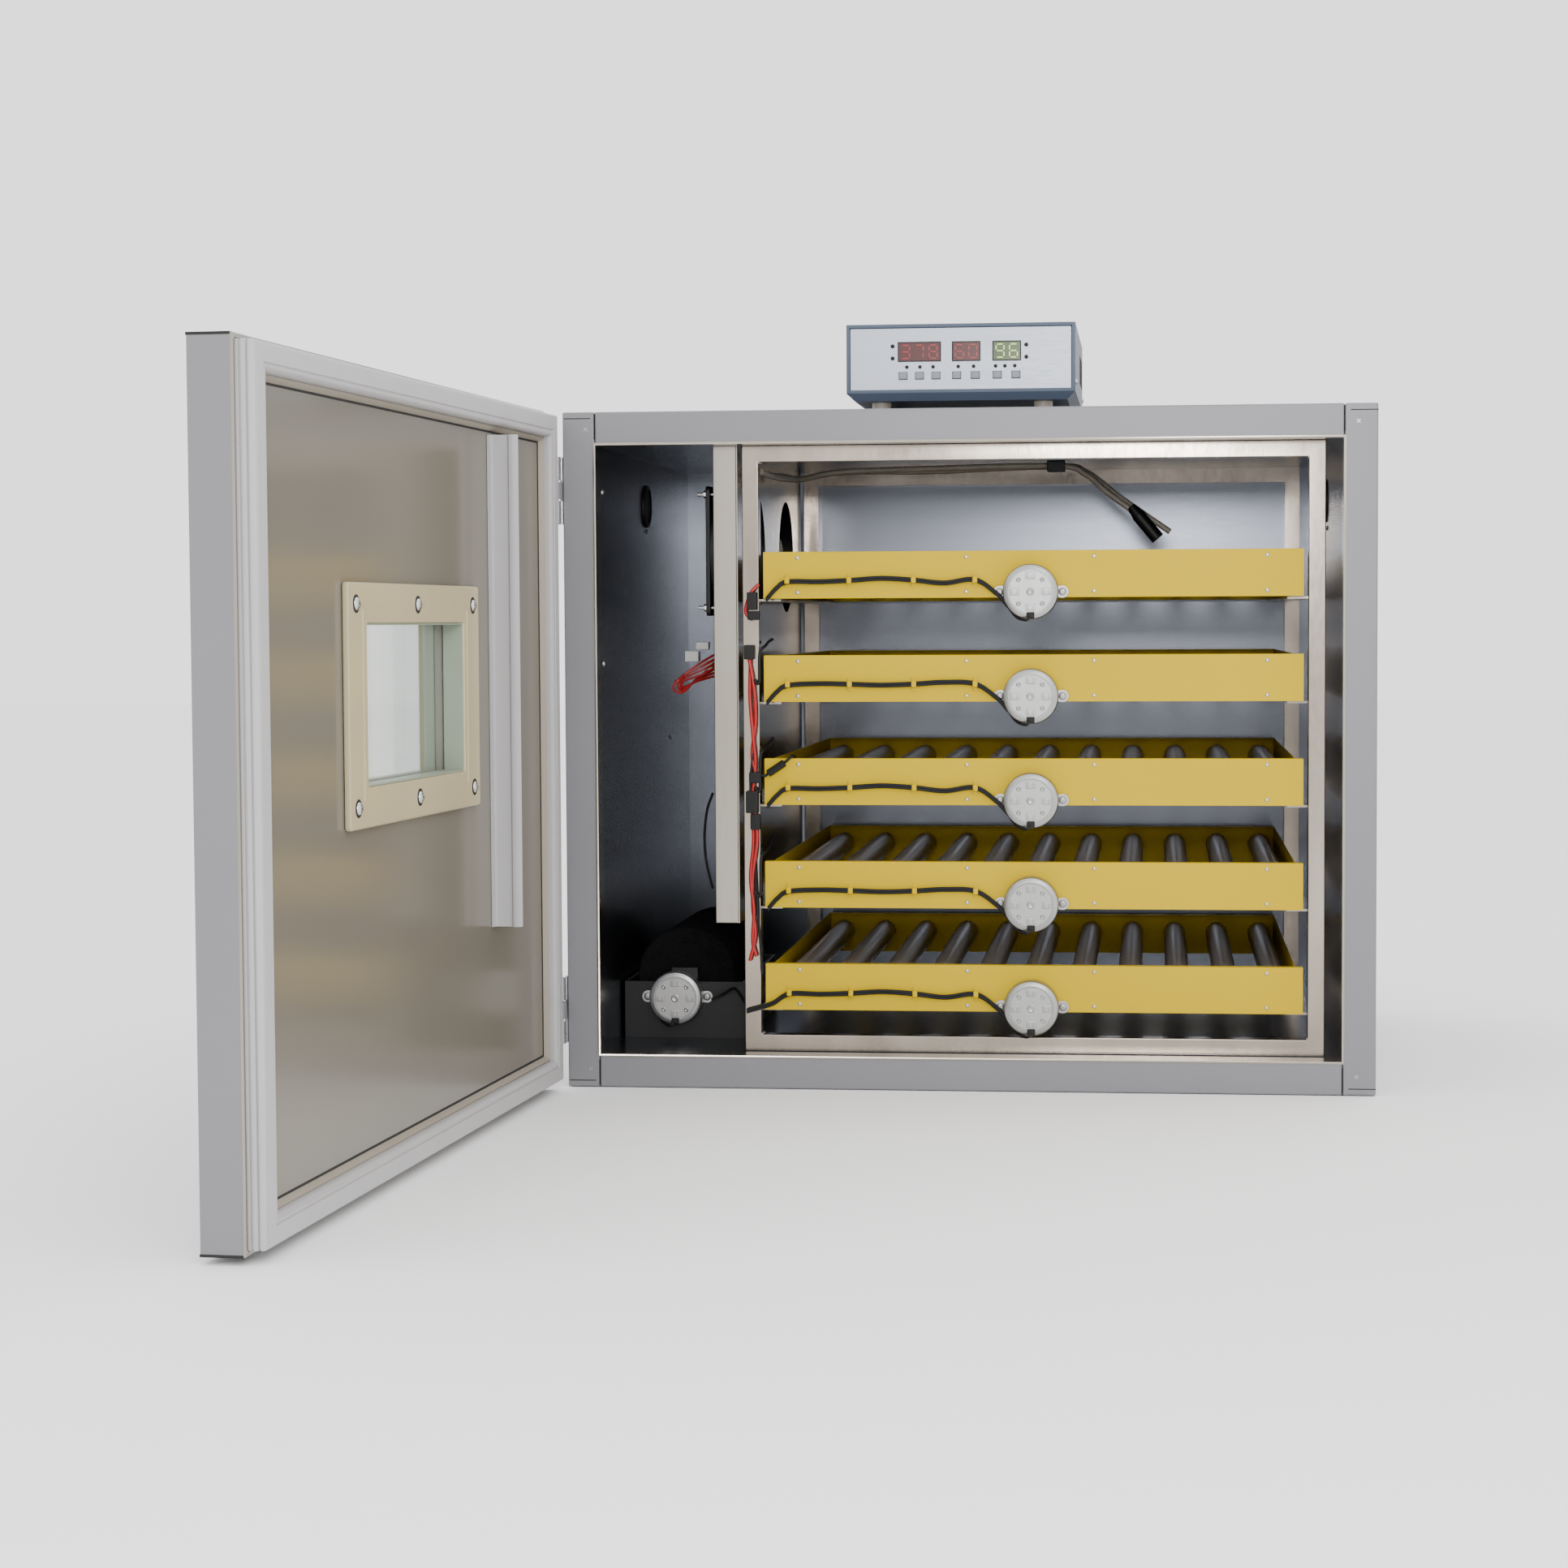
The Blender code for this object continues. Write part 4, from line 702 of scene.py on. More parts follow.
def fan(name):
    """Square flanges joined by a ring, with struts, a motor cup and long bolts."""
    low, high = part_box(f"fan_{name}_housing")
    middle = (low + high) / 2
    centre = (middle.y, middle.z)
    corners = [(y, z) for y in (low.y + BOLT_INSET, high.y - BOLT_INSET)
               for z in (low.z + BOLT_INSET, high.z - BOLT_INSET)]
    housing = Solid()
    outline = rectangle((low.y, low.z), (high.y, high.z), 0.005, 4)
    for start in (low.x, high.x - 0.004):
        housing.plate(outline, [circle(centre, FAN_BORE, 64)] + [circle(c, 0.0021, 12) for c in corners],
                      "X", start, 0.004, 0.0005)
    length = high.x - low.x
    housing.lathe((low.x, *centre), (1, 0, 0),
                  [(FAN_BORE, 0.0002), (0.0586, 0.0002), (0.0592, 0.002), (0.0592, length - 0.002),
                   (0.0586, length - 0.0002), (FAN_BORE, length - 0.0002), (0.0566, length / 2)], 64)
    housing.lathe((low.x + 0.0008, *centre), (1, 0, 0),
                  [(0.004, 0), (0.020, 0), (0.0212, 0.001), (0.0212, 0.0042), (0.020, 0.005),
                   (0.004, 0.005)])
    for k in range(4):
        angle = math.radians(45 + 90 * k)
        turned = Matrix.Rotation(angle, 4, "X")
        half = Vector((0.0018, 0.0022, 0.0195))
        mid = Vector((low.x + 0.003, *centre)) + turned @ Vector((0, 0, 0.0390))
        matrix = Matrix.Translation(mid) @ turned @ Matrix.Diagonal((*(half * 2), 1))
        bmesh.ops.create_cube(housing.mesh, size=1, matrix=matrix)
    housing.piece(f"fan_{name}_frame", BLACK, f"fan_{name}_housing")
    bolts = Solid()
    for y, z in corners:
        bolts.rod((low.x - 0.0085, y, z), (high.x, y, z), 0.0017, 12)
        bolts.rod((low.x - 0.0032, y, z), (low.x - 0.0004, y, z), 0.0036, 6)
    bolts.piece(f"fan_{name}_bolts", ZINC)


def fan_blades(name):
    """A hub with curved, twisted blades."""
    low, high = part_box(f"fan_{name}_housing")
    middle = (low + high) / 2
    centre = (middle.y, middle.z)
    rotor = Solid(f"fan_{name}_rotor")
    hub_start = low.x + 0.0066
    hub_end = high.x - 0.0034
    depth = hub_end - hub_start
    rotor.lathe((hub_start, *centre), (1, 0, 0),
                [(0.003, 0), (0.018, 0), (0.019, 0.001), (0.019, depth - 0.003), (0.0175, depth - 0.0006),
                 (0.015, depth), (0.003, depth)])
    for blade in range(BLADES):
        loops = []
        for k in range(9):
            t = k / 8
            radius = BLADE_ROOT + t * (BLADE_TIP - BLADE_ROOT)
            pitch = math.radians(52 - 24 * t)
            sweep = 2 * math.pi * blade / BLADES + 0.28 * t ** 1.4
            chord = 0.021 + 0.007 * t
            loop = []
            for along, thick in ((-0.5, 0.0), (-0.25, 0.0009), (0.1, 0.0011), (0.5, 0.0001),
                                 (0.1, -0.0004), (-0.25, -0.0004)):
                camber = 0.0026 * (0.25 - along ** 2) * 4
                tangent = along * chord * math.cos(pitch) - (camber + thick) * math.sin(pitch)
                axial = along * chord * math.sin(pitch) + (camber + thick) * math.cos(pitch)
                angle = sweep + tangent / radius
                loop.append((hub_start + depth / 2 + axial * 0.85, centre[0] + radius * math.cos(angle),
                             centre[1] + radius * math.sin(angle)))
            loops.append(loop)
        rotor.rings(loops)
    rotor.piece(f"fan_{name}_blades", BLACK, f"fan_{name}_impeller")


def heater():
    """The bent heating tube."""
    Solid().node("heater_element", 0).piece("heater_tube", STAINLESS, "heater_element", angle=60)


# ---- Humidifier

DRUM_STUB = 0.0088
DISCS = 23


def humidifier():
    """A water tub, a drum of foam discs on a shaft, and its gear motor."""
    Solid().node("humidifier_tank", 0.0012, 3).piece("humidifier_tub", BLACK, "humidifier_tank")
    low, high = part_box("humidifier_drum")
    body_low = low.y + DRUM_STUB
    x, z = (low.x + high.x) / 2, (low.z + high.z) / 2
    radius = (high.x - low.x) / 2
    drum = Solid("humidifier_rotor")
    step = (high.y - low.y - 2 * DRUM_STUB) / DISCS
    for k in range(DISCS):
        y = body_low + k * step
        drum.lathe((x, y, z), (0, 1, 0),
                   [(0.006, 0.0004), (radius - 0.004, 0.0004), (radius - 0.001, 0.0009),
                    (radius - 0.0002, 0.0026), (radius - 0.001, 0.0044), (radius - 0.004, 0.0050),
                    (0.006, 0.0050)], 56)
    for k in range(8):
        angle = 2 * math.pi * k / 8
        px, pz = x + (radius - 0.012) * math.cos(angle), z + (radius - 0.012) * math.sin(angle)
        drum.rod((px, body_low - 0.002, pz), (px, high.y - 0.0075, pz), 0.0022, 10)
    drum.lathe((x, body_low - 0.0028, z), (0, 1, 0),
               [(0.004, 0), (0.013, 0), (0.014, 0.001), (0.014, 0.0035), (0.004, 0.0035)], 32)
    drum.rod((x, low.y, z), (x, high.y, z), 0.004, 20)
    drum.piece("humidifier_discs", FOAM, "humidifier_drum")
    low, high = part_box("humidifier_motor")
    metal, dark = Solid(), Solid()
    motor_shapes(metal, dark, ((low.x + high.x) / 2, (low.z + high.z) / 2), high.y - 0.0002)
    metal.piece("humidifier_motor_can", MOTOR, "humidifier_motor")
    dark.piece("humidifier_motor_notch", CABLE)


# ---- Wiring

def connector(solid, place, size):
    half = Vector(size) / 2
    solid.box(Vector(place) - half, Vector(place) + half, 0.0009)


def loom(x, y):
    """Red wires and black connectors that hang down the left rack tube, at x and y."""
    red = Solid()
    routes = (
        [(-0.001, 0, 0.385), (0.003, -0.0008, 0.360), (0.0045, 0, 0.330), (0.001, 0.0006, 0.300),
         (0.0035, 0, 0.285)],
        [(0.000, 0.001, 0.385), (-0.0005, 0, 0.350), (0.0022, -0.001, 0.315), (0.0040, 0, 0.290),
         (0.0012, 0, 0.262)],
        [(0.003, 0, 0.250), (0.0052, -0.0008, 0.222), (0.0010, 0, 0.190), (0.0008, 0.0006, 0.160),
         (0.0030, 0, 0.135), (-0.002, 0, 0.112)],
        [(0.001, 0.001, 0.250), (0.0018, 0.0006, 0.220), (-0.001, 0, 0.188), (0.0018, -0.0006, 0.158),
         (0.0006, 0, 0.130), (0.0040, 0, 0.116)],
        [(0.008, 0.0005, 0.452), (0.001, -0.001, 0.444), (-0.004, 0, 0.428), (0.002, 0, 0.420)],
    )
    for route in routes:
        red.cord(route, 0.0016, 12, (x, y, 0))
    red.piece("loom_red_wires", RED_WIRE, "wiring_harness")

    black = Solid()
    for dx, z, size in ((0.002, 0.437, (0.009, 0.006, 0.016)), (0.0035, 0.424, (0.011, 0.006, 0.008)),
                        (-0.001, 0.391, (0.009, 0.006, 0.013)), (0.001, 0.256, (0.011, 0.007, 0.020)),
                        (0.004, 0.238, (0.009, 0.006, 0.014)), (0.0035, 0.278, (0.010, 0.006, 0.010))):
        connector(black, (x + dx, y - 0.0005, z), size)
    tray_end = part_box("tray_1")[0].x - x
    for tray_number, droop in ((2, 0.010), (3, 0.014), (4, 0.016)):
        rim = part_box(f"tray_{tray_number}")[1].z
        black.cord([(0.003, -0.001, -0.012 - droop), (0.008, -0.0015, -0.014 - droop),
                    (tray_end - 0.003, 0.0005, 0.002), (tray_end + 0.001, 0.012, 0.009),
                    (tray_end - 0.001, 0.045, 0.012), (tray_end - 0.006, 0.110, 0.014)], origin=(x, y, rim))
    black.cord([(0.002, 0, 0.300), (-0.0005, 0, 0.270), (0.0020, 0.0005, 0.225), (0.0045, 0, 0.170),
                (0.0075, 0.0006, 0.128), (0.009, 0.001, 0.100)], 0.0012, origin=(x, y, 0))
    black.piece("loom_connectors", CABLE)


def roof_cables():
    """Two grey cables under the roof, from the left wall to a clip and down to a probe."""
    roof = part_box("wall_top")[0].z
    cables = Solid()
    for shift, drop, end in ((0.0, 0.0, 0.150), (0.0075, 0.010, 0.182)):
        slope = (end - 0.104) / 0.078
        cables.cord([(-0.196, -0.168, -0.020), (-0.196, -0.085, -0.020),
                     (-0.195, -0.012, -0.019 + shift * 0.3), (-0.183, 0.040, -0.017),
                     (-0.145, 0.062, -0.0092), (-0.060, 0.066 + shift, -0.0066 - shift * 0.3),
                     (0.069, 0.066 + shift, -0.0050),
                     (0.098, 0.066 + shift, -0.0135 + drop * 0.3),
                     (0.098 + 0.036 * slope, 0.067 + shift, -0.0135 - 0.030 * slope + drop * 0.6),
                     (end, 0.067 + shift, -0.0150 - 0.066 * slope + drop)], 0.0030, 14, (0, 0, roof))
    cables.piece("roof_cables", GREY_CABLE)
    fittings = Solid()
    fittings.box((0.060, 0.058, roof - 0.0105), (0.078, 0.082, roof - 0.0003), 0.001)
    probe = Vector((0.150, 0.067, roof - 0.054))
    along = Vector((0.020, 0, -0.024))
    fittings.rod(probe - along * 0.35, probe, 0.0045, 20, 0.0062, bevel=0.0005)
    fittings.rod(probe - along * 0.02, probe + along, 0.0068, 20, bevel=0.001)
    fittings.piece("roof_cable_fittings", BLACK)


def tray_plug():
    """The plug at the left end of the middle tray, with its lead over the rim."""
    plug = Solid("tray_3")
    low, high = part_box("tray_3")
    origin = (low.x, low.y - 0.0050, high.z)
    plug.rod(Vector(origin) + Vector((0.004, 0, -0.0135)), Vector(origin) + Vector((0.019, 0, -0.0035)),
             0.0034, 8, bevel=0.0007)
    plug.cord([(-0.0015, 0, -0.0150), (0.001, 0, -0.0155), (0.0045, 0, -0.0132)], origin=origin)
    plug.cord([(0.0185, 0, -0.0038), (0.0225, 0, -0.0005), (0.0250, 0.004, 0.0022),
               (0.0265, 0.016, 0.0010), (0.0270, 0.019, -0.006)], origin=origin)
    plug.piece("tray_3_plug", CABLE)


def chamber_wires():
    """Loose leads on the left wall and at the water tank, and the heater's terminals and red loops."""
    side = Solid()
    side.cord([(-0.2350, -0.215, 0.262), (-0.2420, -0.205, 0.245), (-0.2460, -0.195, 0.220),
               (-0.2450, -0.190, 0.196), (-0.2400, -0.186, 0.172)], 0.0012)
    side.cord([(-0.2440, -0.172, 0.0672), (-0.2330, -0.174, 0.0720), (-0.2200, -0.186, 0.0790),
               (-0.2080, -0.208, 0.0700), (-0.2020, -0.232, 0.0690)], 0.0014)
    side.piece("chamber_leads", CABLE)
    terminals = Solid()
    for place, size in (((-0.268, -0.120, 0.386), (0.013, 0.012, 0.010)),
                        ((-0.258, -0.120, 0.396), (0.012, 0.010, 0.007)),
                        ((-0.254, -0.120, 0.377), (0.011, 0.010, 0.008))):
        connector(terminals, place, size)
    terminals.piece("heater_terminals", WHITE)
    loops = Solid()
    for k in range(4):
        dz = 0.0035 * k
        loops.cord([(-0.238, -0.118, 0.392 - dz), (-0.254, -0.128 - 0.002 * k, 0.383 - dz * 1.2),
                    (-0.270 - 0.004 * k, -0.134, 0.372 - dz), (-0.284 + 0.004 * k, -0.136, 0.358 + dz),
                    (-0.276, -0.133, 0.352 + dz * 0.5), (-0.262, -0.126, 0.366 - dz * 0.3),
                    (-0.246, -0.119, 0.378 - dz)], 0.0011)
    loops.piece("heater_red_wires", RED_WIRE)


# ---- Controller

SEGMENTS = {"0": "abcdef", "1": "bc", "2": "abged", "3": "abgcd", "4": "fgbc", "5": "afgcd", "6": "afgecd",
            "7": "abc", "8": "abcdefg", "9": "abcdfg"}
DISPLAY_LOW = 0.6555
DISPLAY_HIGH = 0.6720
DISPLAYS = (("red", "378", -0.0660, -0.0280, RED_LENS, RED_DIGIT),
            ("humidity", "60", -0.0165, 0.0080, RED_LENS, RED_DIGIT),
            ("green", "96", 0.0205, 0.0450, GREEN_LENS, GREEN_DIGIT))
LAMP_ROW = (-0.0585, -0.0465, -0.0345, -0.0115, 0.0025, 0.0225, 0.0310, 0.0400)


def digits(solid, text, low, high, y):
    """Seven-segment figures spread over a window from low to high."""
    cell = (high.x - low.x) / len(text)
    height = (high.z - low.z) * 0.72
    width = min(cell * 0.62, height * 0.6)
    bar = height * 0.085
    z0 = (low.z + high.z) / 2 - height / 2
    for k, figure in enumerate(text):
        x0 = low.x + cell * (k + 0.5) - width / 2
        places = {"a": (x0, z0 + height, 1), "g": (x0, z0 + height / 2, 1), "d": (x0, z0, 1),
                  "f": (x0, z0 + height / 2, 0), "b": (x0 + width, z0 + height / 2, 0),
                  "e": (x0, z0, 0), "c": (x0 + width, z0, 0)}
        for segment in SEGMENTS[figure]:
            x, z, flat = places[segment]
            if flat:
                solid.box((x + bar, y - 0.0002, z - bar / 2), (x + width - bar, y, z + bar / 2), 0)
            else:
                solid.box((x - bar / 2, y - 0.0002, z + bar), (x + bar / 2, y, z + height / 2 - bar), 0)


def controller():
    """The case, its front panel with buttons and lamps, and the slots and screws on its sides; the slots are
    dark strips of painted shade.
    """
    controller_case()
    keys = [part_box(f"controller_button_{k}") for k in range(1, 8)]
    panel_low, panel_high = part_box("controller_panel")
    holes = [face(key_low, key_high, -0.0003) for key_low, key_high in keys]
    plate = Solid().plate(face(panel_low, panel_high, 0, 0.001, 3), holes, "Y", panel_low.y,
                          panel_high.y - panel_low.y, 0.0002)
    plate.piece("controller_fascia", FACE, "controller_panel")
    displays(panel_low.y)
    lamps = Solid()
    for x in LAMP_ROW:
        lamp(lamps, (x, panel_low.y, 0.6500), 0.0017, 0.0011)
    for x in (-0.0715, 0.0505):
        for z in (0.6690, 0.6580):
            lamp(lamps, (x, panel_low.y, z), 0.0019, 0.0012)
    lamps.piece("status_lamps", DARK_AND_PAINTED_SHADE)
    for k, key in enumerate(keys, start=1):
        Solid(f"button_{k}").box(*key, 0.0009, 3).piece(f"controller_key_{k}", KEY, f"controller_button_{k}")
    low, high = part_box("controller_case")
    slots, screws = Solid(), Solid()
    for x, along in ((low.x, -1), (high.x, 1)):
        # Each slot is a thin dark strip across the wall face: painted shade in the opening.
        for k in range(9):
            y = high.y - 0.030 - k * 0.009
            slots.box((x - 0.0003, y - 0.0016, 0.645), (x + 0.0003, y + 0.0016, 0.672), 0.0002, 1)
        for y in (low.y + 0.018, high.y - 0.014):
            screw(screws, (x, y, 0.636), (along, 0, 0), 0.003)
    slots.piece("controller_vents", DARK_AND_PAINTED_SHADE)
    screws.piece("controller_screws", ZINC)


def lamp(solid, place, radius, inner):
    solid.lathe(place, (0, -1, 0), [(radius, -0.0002), (radius, 0.0003), (inner, inner - 0.0003),
                                    (0.0003, inner - 0.0001)], 16)


def displays(front):
    """Three windows with dark rims and lit figures, on the panel's front face."""
    rims = Solid()
    for label, text, left, right, pane, light in DISPLAYS:
        low, high = Vector((left, 0, DISPLAY_LOW)), Vector((right, 0, DISPLAY_HIGH))
        rims.frame_sweep(low, high, front, bar_section(0.0008, -0.00005, -0.0006), -0.0008)
        window = Solid().box((left, front - 0.0004, low.z), (right, front - 0.00005, high.z), 0.0001, 1)
        window.piece(f"display_{label}", pane)
        figures = Solid()
        digits(figures, text, low, high, front - 0.00041)
        figures.piece(f"display_{label}_figures", light)
    rims.piece("display_rims", DARK_AND_PAINTED_SHADE)


def controller_case():
    """A sheet shell with a back, a sloped skirt below it and four rubber feet."""
    low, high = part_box("controller_case")
    wall = 0.0035
    skirt = 0.012
    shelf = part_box("controller_panel")[0].z - 0.0013
    depth = high.y - low.y
    shell = Solid().frame_sweep((low.x, 0, shelf), (high.x, 0, high.z), low.y, [
        (0.0010, 0), (0.0002, 0.0003), (0, 0.0012), (0, depth), (wall, depth), (wall, 0.0006),
        (wall - 0.0006, 0)])
    shell.box((low.x + 0.002, high.y - wall, shelf + 0.002),
              (high.x - 0.002, high.y - 0.0002, high.z - 0.002))
    shell.rings([[(low.x + inset, low.y + inset * 0.6, z), (high.x - inset, low.y + inset * 0.6, z),
                  (high.x - inset, high.y - inset * 0.6, z), (low.x + inset, high.y - inset * 0.6, z)]
                 for inset, z in ((skirt * 0.62, shelf - skirt * 0.55), (0.0001, shelf + 0.0004))])
    shell.piece("controller_shell", CASE, "controller_case")
    feet = Solid()
    for x in (low.x + 0.030, high.x - 0.030):
        for y in (low.y + 0.025, high.y - 0.025):
            feet.lathe((x, y, low.z), (0, 0, 1),
                       [(0.004, 0), (0.0074, 0), (0.008, 0.0008), (0.0088, 0.0136), (0.004, 0.0136)], 32)
    feet.piece("controller_feet", GREY_CABLE)

# ---- Door, drawn closed

def on_door():
    return Solid("door", DOOR)


def door():
    """The panel with its edge, seals, liner, window and handle."""
    Solid("door").node("door_panel", 0.0012, 3).piece("door_shell", PAINT, "door_panel")
    low, high = closed_box("door_panel")
    low.x = closed_box("door_gasket")[0].x - 0.004
    liner = closed_box("door_liner")
    glass = closed_box("door_window_glazing")
    inner = liner[0].y - 0.0003
    margin = Vector((0.008, 0, 0.008))
    opening = (glass[0] + margin, glass[1] - margin)
    door_edge(low, high, inner)
    door_seals(liner, inner + 0.0002)
    sheet = on_door().plate(face(*liner), [face(*opening)], "Y", liner[0].y, liner[1].y - liner[0].y, 0.0002)
    sheet.piece("door_liner_sheet", LINER, "door_liner")
    window(opening, glass, low.y)
    window_screws()
    door_fin()
    Solid("door").node("door_handle", 0.0028, 4).piece("door_pull", ZINC, "door_handle")


def door_edge(low, high, inner):
    """A bright rim round the inner face and dark strips on the free ends of the edge profiles."""
    edge = on_door().frame_sweep(low, high, inner, [
        (0, -0.0004), (0, 0.0012), (0.0006, 0.0017), (0.0030, 0.0017), (0.0034, 0.0010),
        (0.0034, -0.0004)], 0.0002)
    edge.piece("door_edge_rim", STAINLESS)
    end_strips = on_door()
    for z in (low.z + 0.0006, high.z - 0.0006):
        for x0, x1 in ((high.x - 0.030, high.x + 0.0005), (low.x, low.x + 0.030)):
            end_strips.box((x0, inner - 0.0305, z - 0.0010), (x1, inner - 0.0002, z + 0.0010), 0.0004)
    end_strips.piece("door_edge_end_strips", DARK_AND_PAINTED_SHADE)


def door_seals(liner, base):
    """The grooved main seal, the beige band inside it and a dark line of painted shadow on the liner under
    the band's edge.
    """
    low, high = closed_box("door_gasket")
    top = high.y - base
    seal = on_door().frame_sweep(low, high, base, [
        (0.0000, 0), (0.0000, 0.0032), (0.0012, 0.0038), (0.0012, 0.0045), (0.0000, 0.0051),
        (0.0000, 0.0082), (0.0012, 0.0088), (0.0012, 0.0095), (0.0000, 0.0101), (0.0003, top - 0.0022),
        (0.0012, top - 0.0006), (0.0028, top), (0.0136, top), (0.0142, top - 0.0010),
        (0.0148, top - 0.0010), (0.0154, top - 0.0002), (0.0176, top - 0.0004), (0.0194, top - 0.0022),
        (0.0200, top - 0.0048), (0.0200, 0)])
    seal.piece("door_gasket_profile", VINYL, "door_gasket", angle=50)
    band = on_door().frame_sweep(low, high, base, [
        (0, 0), (0, 0.0078), (0.0016, 0.0086), (0.0034, 0.0062), (0.0042, 0.0036), (0.0030, 0.0031),
        (0.0016, 0)], 0.0202)
    band.piece("door_gasket_inner_band", BEIGE, angle=50)
    # Painted shadow that the band's edge casts on the liner.
    band_shadow = on_door().frame_sweep(*liner, liner[1].y, bar_section(0.0018, -0.0002, 0.0004), 0.0022)
    band_shadow.piece("door_liner_painted_shadow", DARK_AND_PAINTED_SHADE)


def window(opening, glass, outer):
    """Inner bezel, outer trim, a sleeve through the panel, two panes and the spacer between them."""
    low, high = closed_box("door_window_frame")
    bezel = on_door().plate(face(low, high, 0, 0.003, 4), [face(*opening, 0, 0.002, 3)], "Y", low.y,
                            high.y - low.y, 0.0014)
    z0, z1 = opening[0].z - 0.01, opening[1].z + 0.01
    for x in (opening[0].x - 0.00825, opening[1].x + 0.00825):
        bezel.box((x - 0.00175, high.y - 0.0006, z0), (x + 0.00175, high.y + 0.0006, z1), 0.0005)
    bezel.piece("window_bezel", CREAM, "door_window_frame")
    trim = on_door().plate(face(*opening, -0.022, 0.004, 4), [face(*opening, 0, 0.002, 3)], "Y",
                           outer - 0.0045, 0.0042, 0.0012)
    trim.piece("window_outer_trim", CREAM)
    sleeve = on_door()
    for y0, y1 in ((outer - 0.0002, glass[0].y - 0.0002), (glass[1].y + 0.0002, high.y - 0.0015)):
        sleeve.frame_sweep(*opening, 0, bar_section(0.0012, y0, y1), 0.0002)
    sleeve.piece("window_sleeve_painted_shade", SHADED_SLEEVE)
    panes = on_door()
    for y in (glass[0].y, glass[1].y - 0.003):
        panes.box((glass[0].x, y, glass[0].z), (glass[1].x, y + 0.003, glass[1].z), 0.0003, 1)
    panes.piece("window_panes", PANE, "door_window_glazing")
    spacer = on_door().frame_sweep(
        *opening, 0, bar_section(0.0055, glass[0].y + 0.0032, glass[1].y - 0.0032), -0.004)
    spacer.piece("window_spacer", BEIGE)


def window_screws():
    low, high = closed_box("door_window_frame")
    screws, screw_shadows = on_door(), on_door()
    for x in (low.x + 0.016, (low.x + high.x) / 2, high.x - 0.016):
        for z in (low.z + 0.0155, high.z - 0.0155):
            screw(screws, (x, high.y + 0.0002, z), (0, 1, 0), 0.0048)
            # A dark ring round each screw: painted shadow.
            screw_shadows.lathe((x, high.y - 0.0004, z), (0, 1, 0),
                       [(0.003, 0), (0.0068, 0), (0.0068, 0.0006), (0.0062, 0.0009), (0.003, 0.0008)], 24)
    screws.piece("window_screws", ZINC)
    screw_shadows.piece("window_screw_shadows", DARK_AND_PAINTED_SHADE)


def door_fin():
    """The bulbed seal strip on a wide base, near the free end of the door."""
    low, high = closed_box("door_seal_strip")
    x = (low.x + high.x) / 2
    base, tip = low.y, high.y
    section = [(-0.0180, base), (0.0060, base), (0.0060, base + 0.0016), (0.0022, base + 0.0022),
               (0.0013, base + 0.0045), (0.0012, tip - 0.0088), (0.0034, tip - 0.0072), (0.004, tip - 0.0042),
               (0.0028, tip - 0.0012), (0.0, tip), (-0.0028, tip - 0.0012), (-0.0040, tip - 0.0042),
               (-0.0034, tip - 0.0072), (-0.0012, tip - 0.0088), (-0.0013, base + 0.0045),
               (-0.0022, base + 0.0022), (-0.0170, base + 0.0014)]
    fin = on_door().rings([[(x + dx, y, z) for dx, y in section] for z in (low.z, high.z)])
    fin.piece("door_fin", VINYL, "door_seal_strip")


def hinges():
    """Two folded leaves on the left front post, each with three screws."""
    screws = Solid()
    for name in ("top", "bottom"):
        node = f"door_hinge_{name}"
        Solid().node(node, 0.0004, 2).piece(f"{node}_leaf", ZINC, node)
        low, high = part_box(node)
        leaf = high.x - 0.002
        for z in (low.z + 0.012, (low.z + high.z) / 2, high.z - 0.012):
            screw(screws, (leaf, FRONT_Y + 0.020, z), (-1, 0, 0), 0.0034)
    screws.piece("hinge_screws", ZINC)


cabinet_shell()
front_frame()
rack()
for tray_number in TRAYS:
    tray(tray_number)
rollers()
partition()
for fan_name in ("front", "rear"):
    fan(fan_name)
    fan_blades(fan_name)
heater()
humidifier()
loom(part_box("rack_front_frame")[0].x + 0.0075, FRONT_Y + 0.0262)
roof_cables()
tray_plug()
chamber_wires()
controller()
door()
hinges()


# ---- Camera, floor and lights

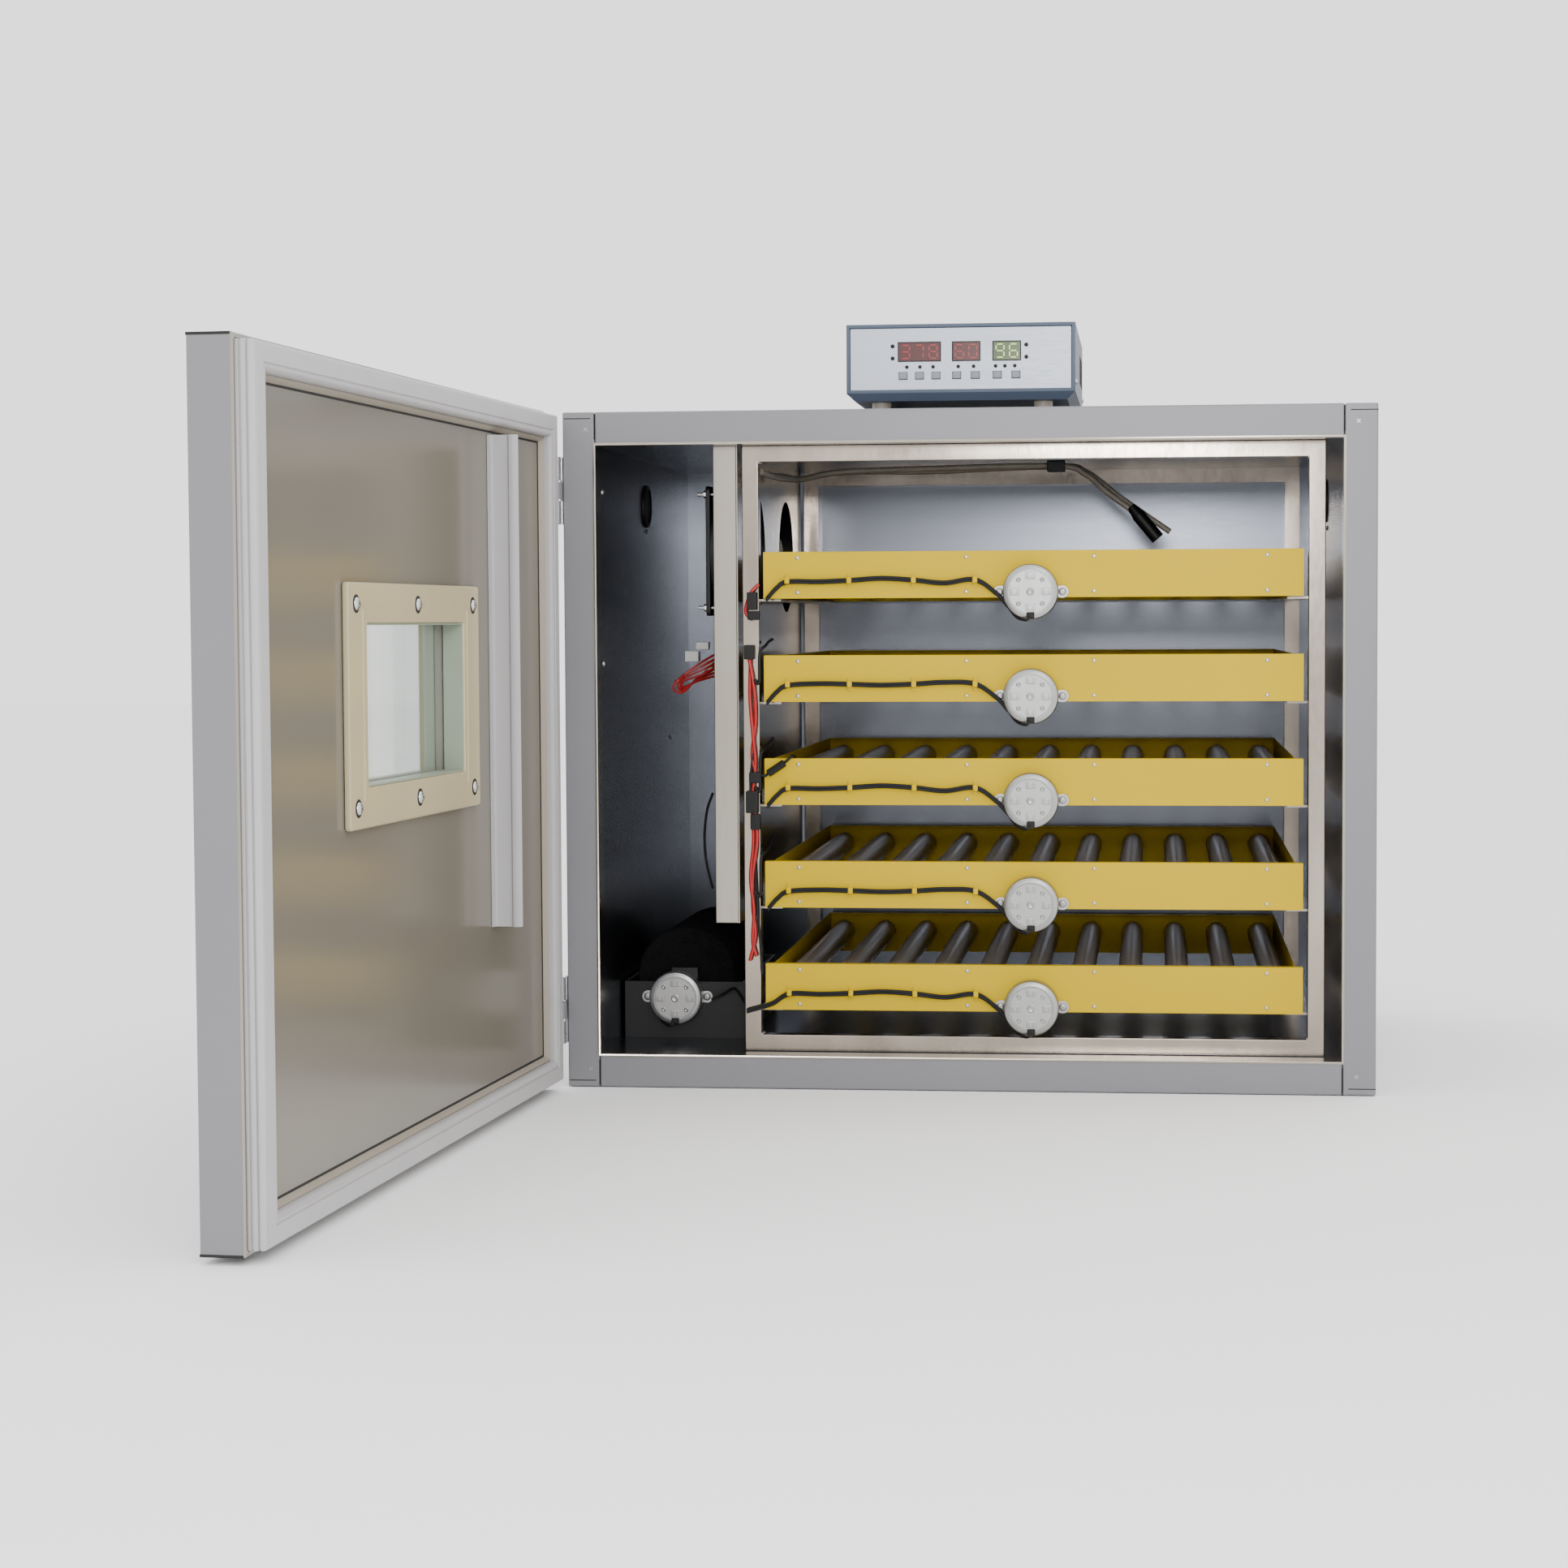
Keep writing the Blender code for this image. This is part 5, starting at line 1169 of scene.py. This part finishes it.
CAMERA_PLACE = (0.166, -2.7989, 0.4177)
CAMERA_YAW = 5.82
CAMERA_PITCH = 2.75
CAMERA_ROLL = -0.26
CAMERA_SHIFT = (-0.050, -0.0156)
SENSOR = 36
PHOTO_WIDTH = 1932
FOCAL_PIXELS = 3527.4
WORLD_STRENGTH = 2.0
LIGHT_TARGET = (0, 0, 0.3)
LIGHTS = (("flash", (0.15, -2.7, 0.75), 0.30, 12), ("key", (0.9, -3.2, 1.9), 0.7, 18),
          ("top", (0, -0.2, 2.6), 1.6, 12))
FLOOR_HALF = 12
FLOOR_DROP = 0.0005


def add_camera():
    data = bpy.data.cameras.new("camera")
    data.sensor_width = SENSOR
    data.lens = FOCAL_PIXELS / PHOTO_WIDTH * SENSOR
    data.shift_x, data.shift_y = CAMERA_SHIFT
    data.clip_end = 100
    camera = bpy.data.objects.new("camera", data)
    turn = (Matrix.Rotation(math.radians(CAMERA_YAW), 4, "Z")
            @ Matrix.Rotation(math.radians(90 - CAMERA_PITCH), 4, "X")
            @ Matrix.Rotation(math.radians(CAMERA_ROLL), 4, "Z"))
    camera.matrix_world = Matrix.Translation(CAMERA_PLACE) @ turn
    bpy.context.scene.collection.objects.link(camera)
    bpy.context.scene.camera = camera


def add_light(name, place, size, power):
    data = bpy.data.lights.new(name, "AREA")
    data.shape = "SQUARE"
    data.size = size
    data.energy = power
    light = bpy.data.objects.new(name, data)
    light.location = place
    light.rotation_euler = (Vector(LIGHT_TARGET) - Vector(place)).to_track_quat("-Z", "Y").to_euler()
    bpy.context.scene.collection.objects.link(light)


def add_stage():
    white = surface("floor", (0.93, 0.93, 0.93), 0.9, vary=0.005, bump=0.0)
    data = bpy.data.meshes.new("floor")
    plane = bmesh.new()
    bmesh.ops.create_grid(plane, x_segments=1, y_segments=1, size=FLOOR_HALF)
    plane.to_mesh(data)
    plane.free()
    data.materials.append(white)
    floor = bpy.data.objects.new("floor", data)
    floor.location.z = -FLOOR_DROP
    bpy.context.scene.collection.objects.link(floor)
    world = bpy.data.worlds.new("studio")
    world.use_nodes = True
    world.node_tree.nodes["Background"].inputs["Color"].default_value = (1, 1, 1, 1)
    world.node_tree.nodes["Background"].inputs["Strength"].default_value = WORLD_STRENGTH
    bpy.context.scene.world = world
    for light in LIGHTS:
        add_light(*light)


add_camera()
add_stage()
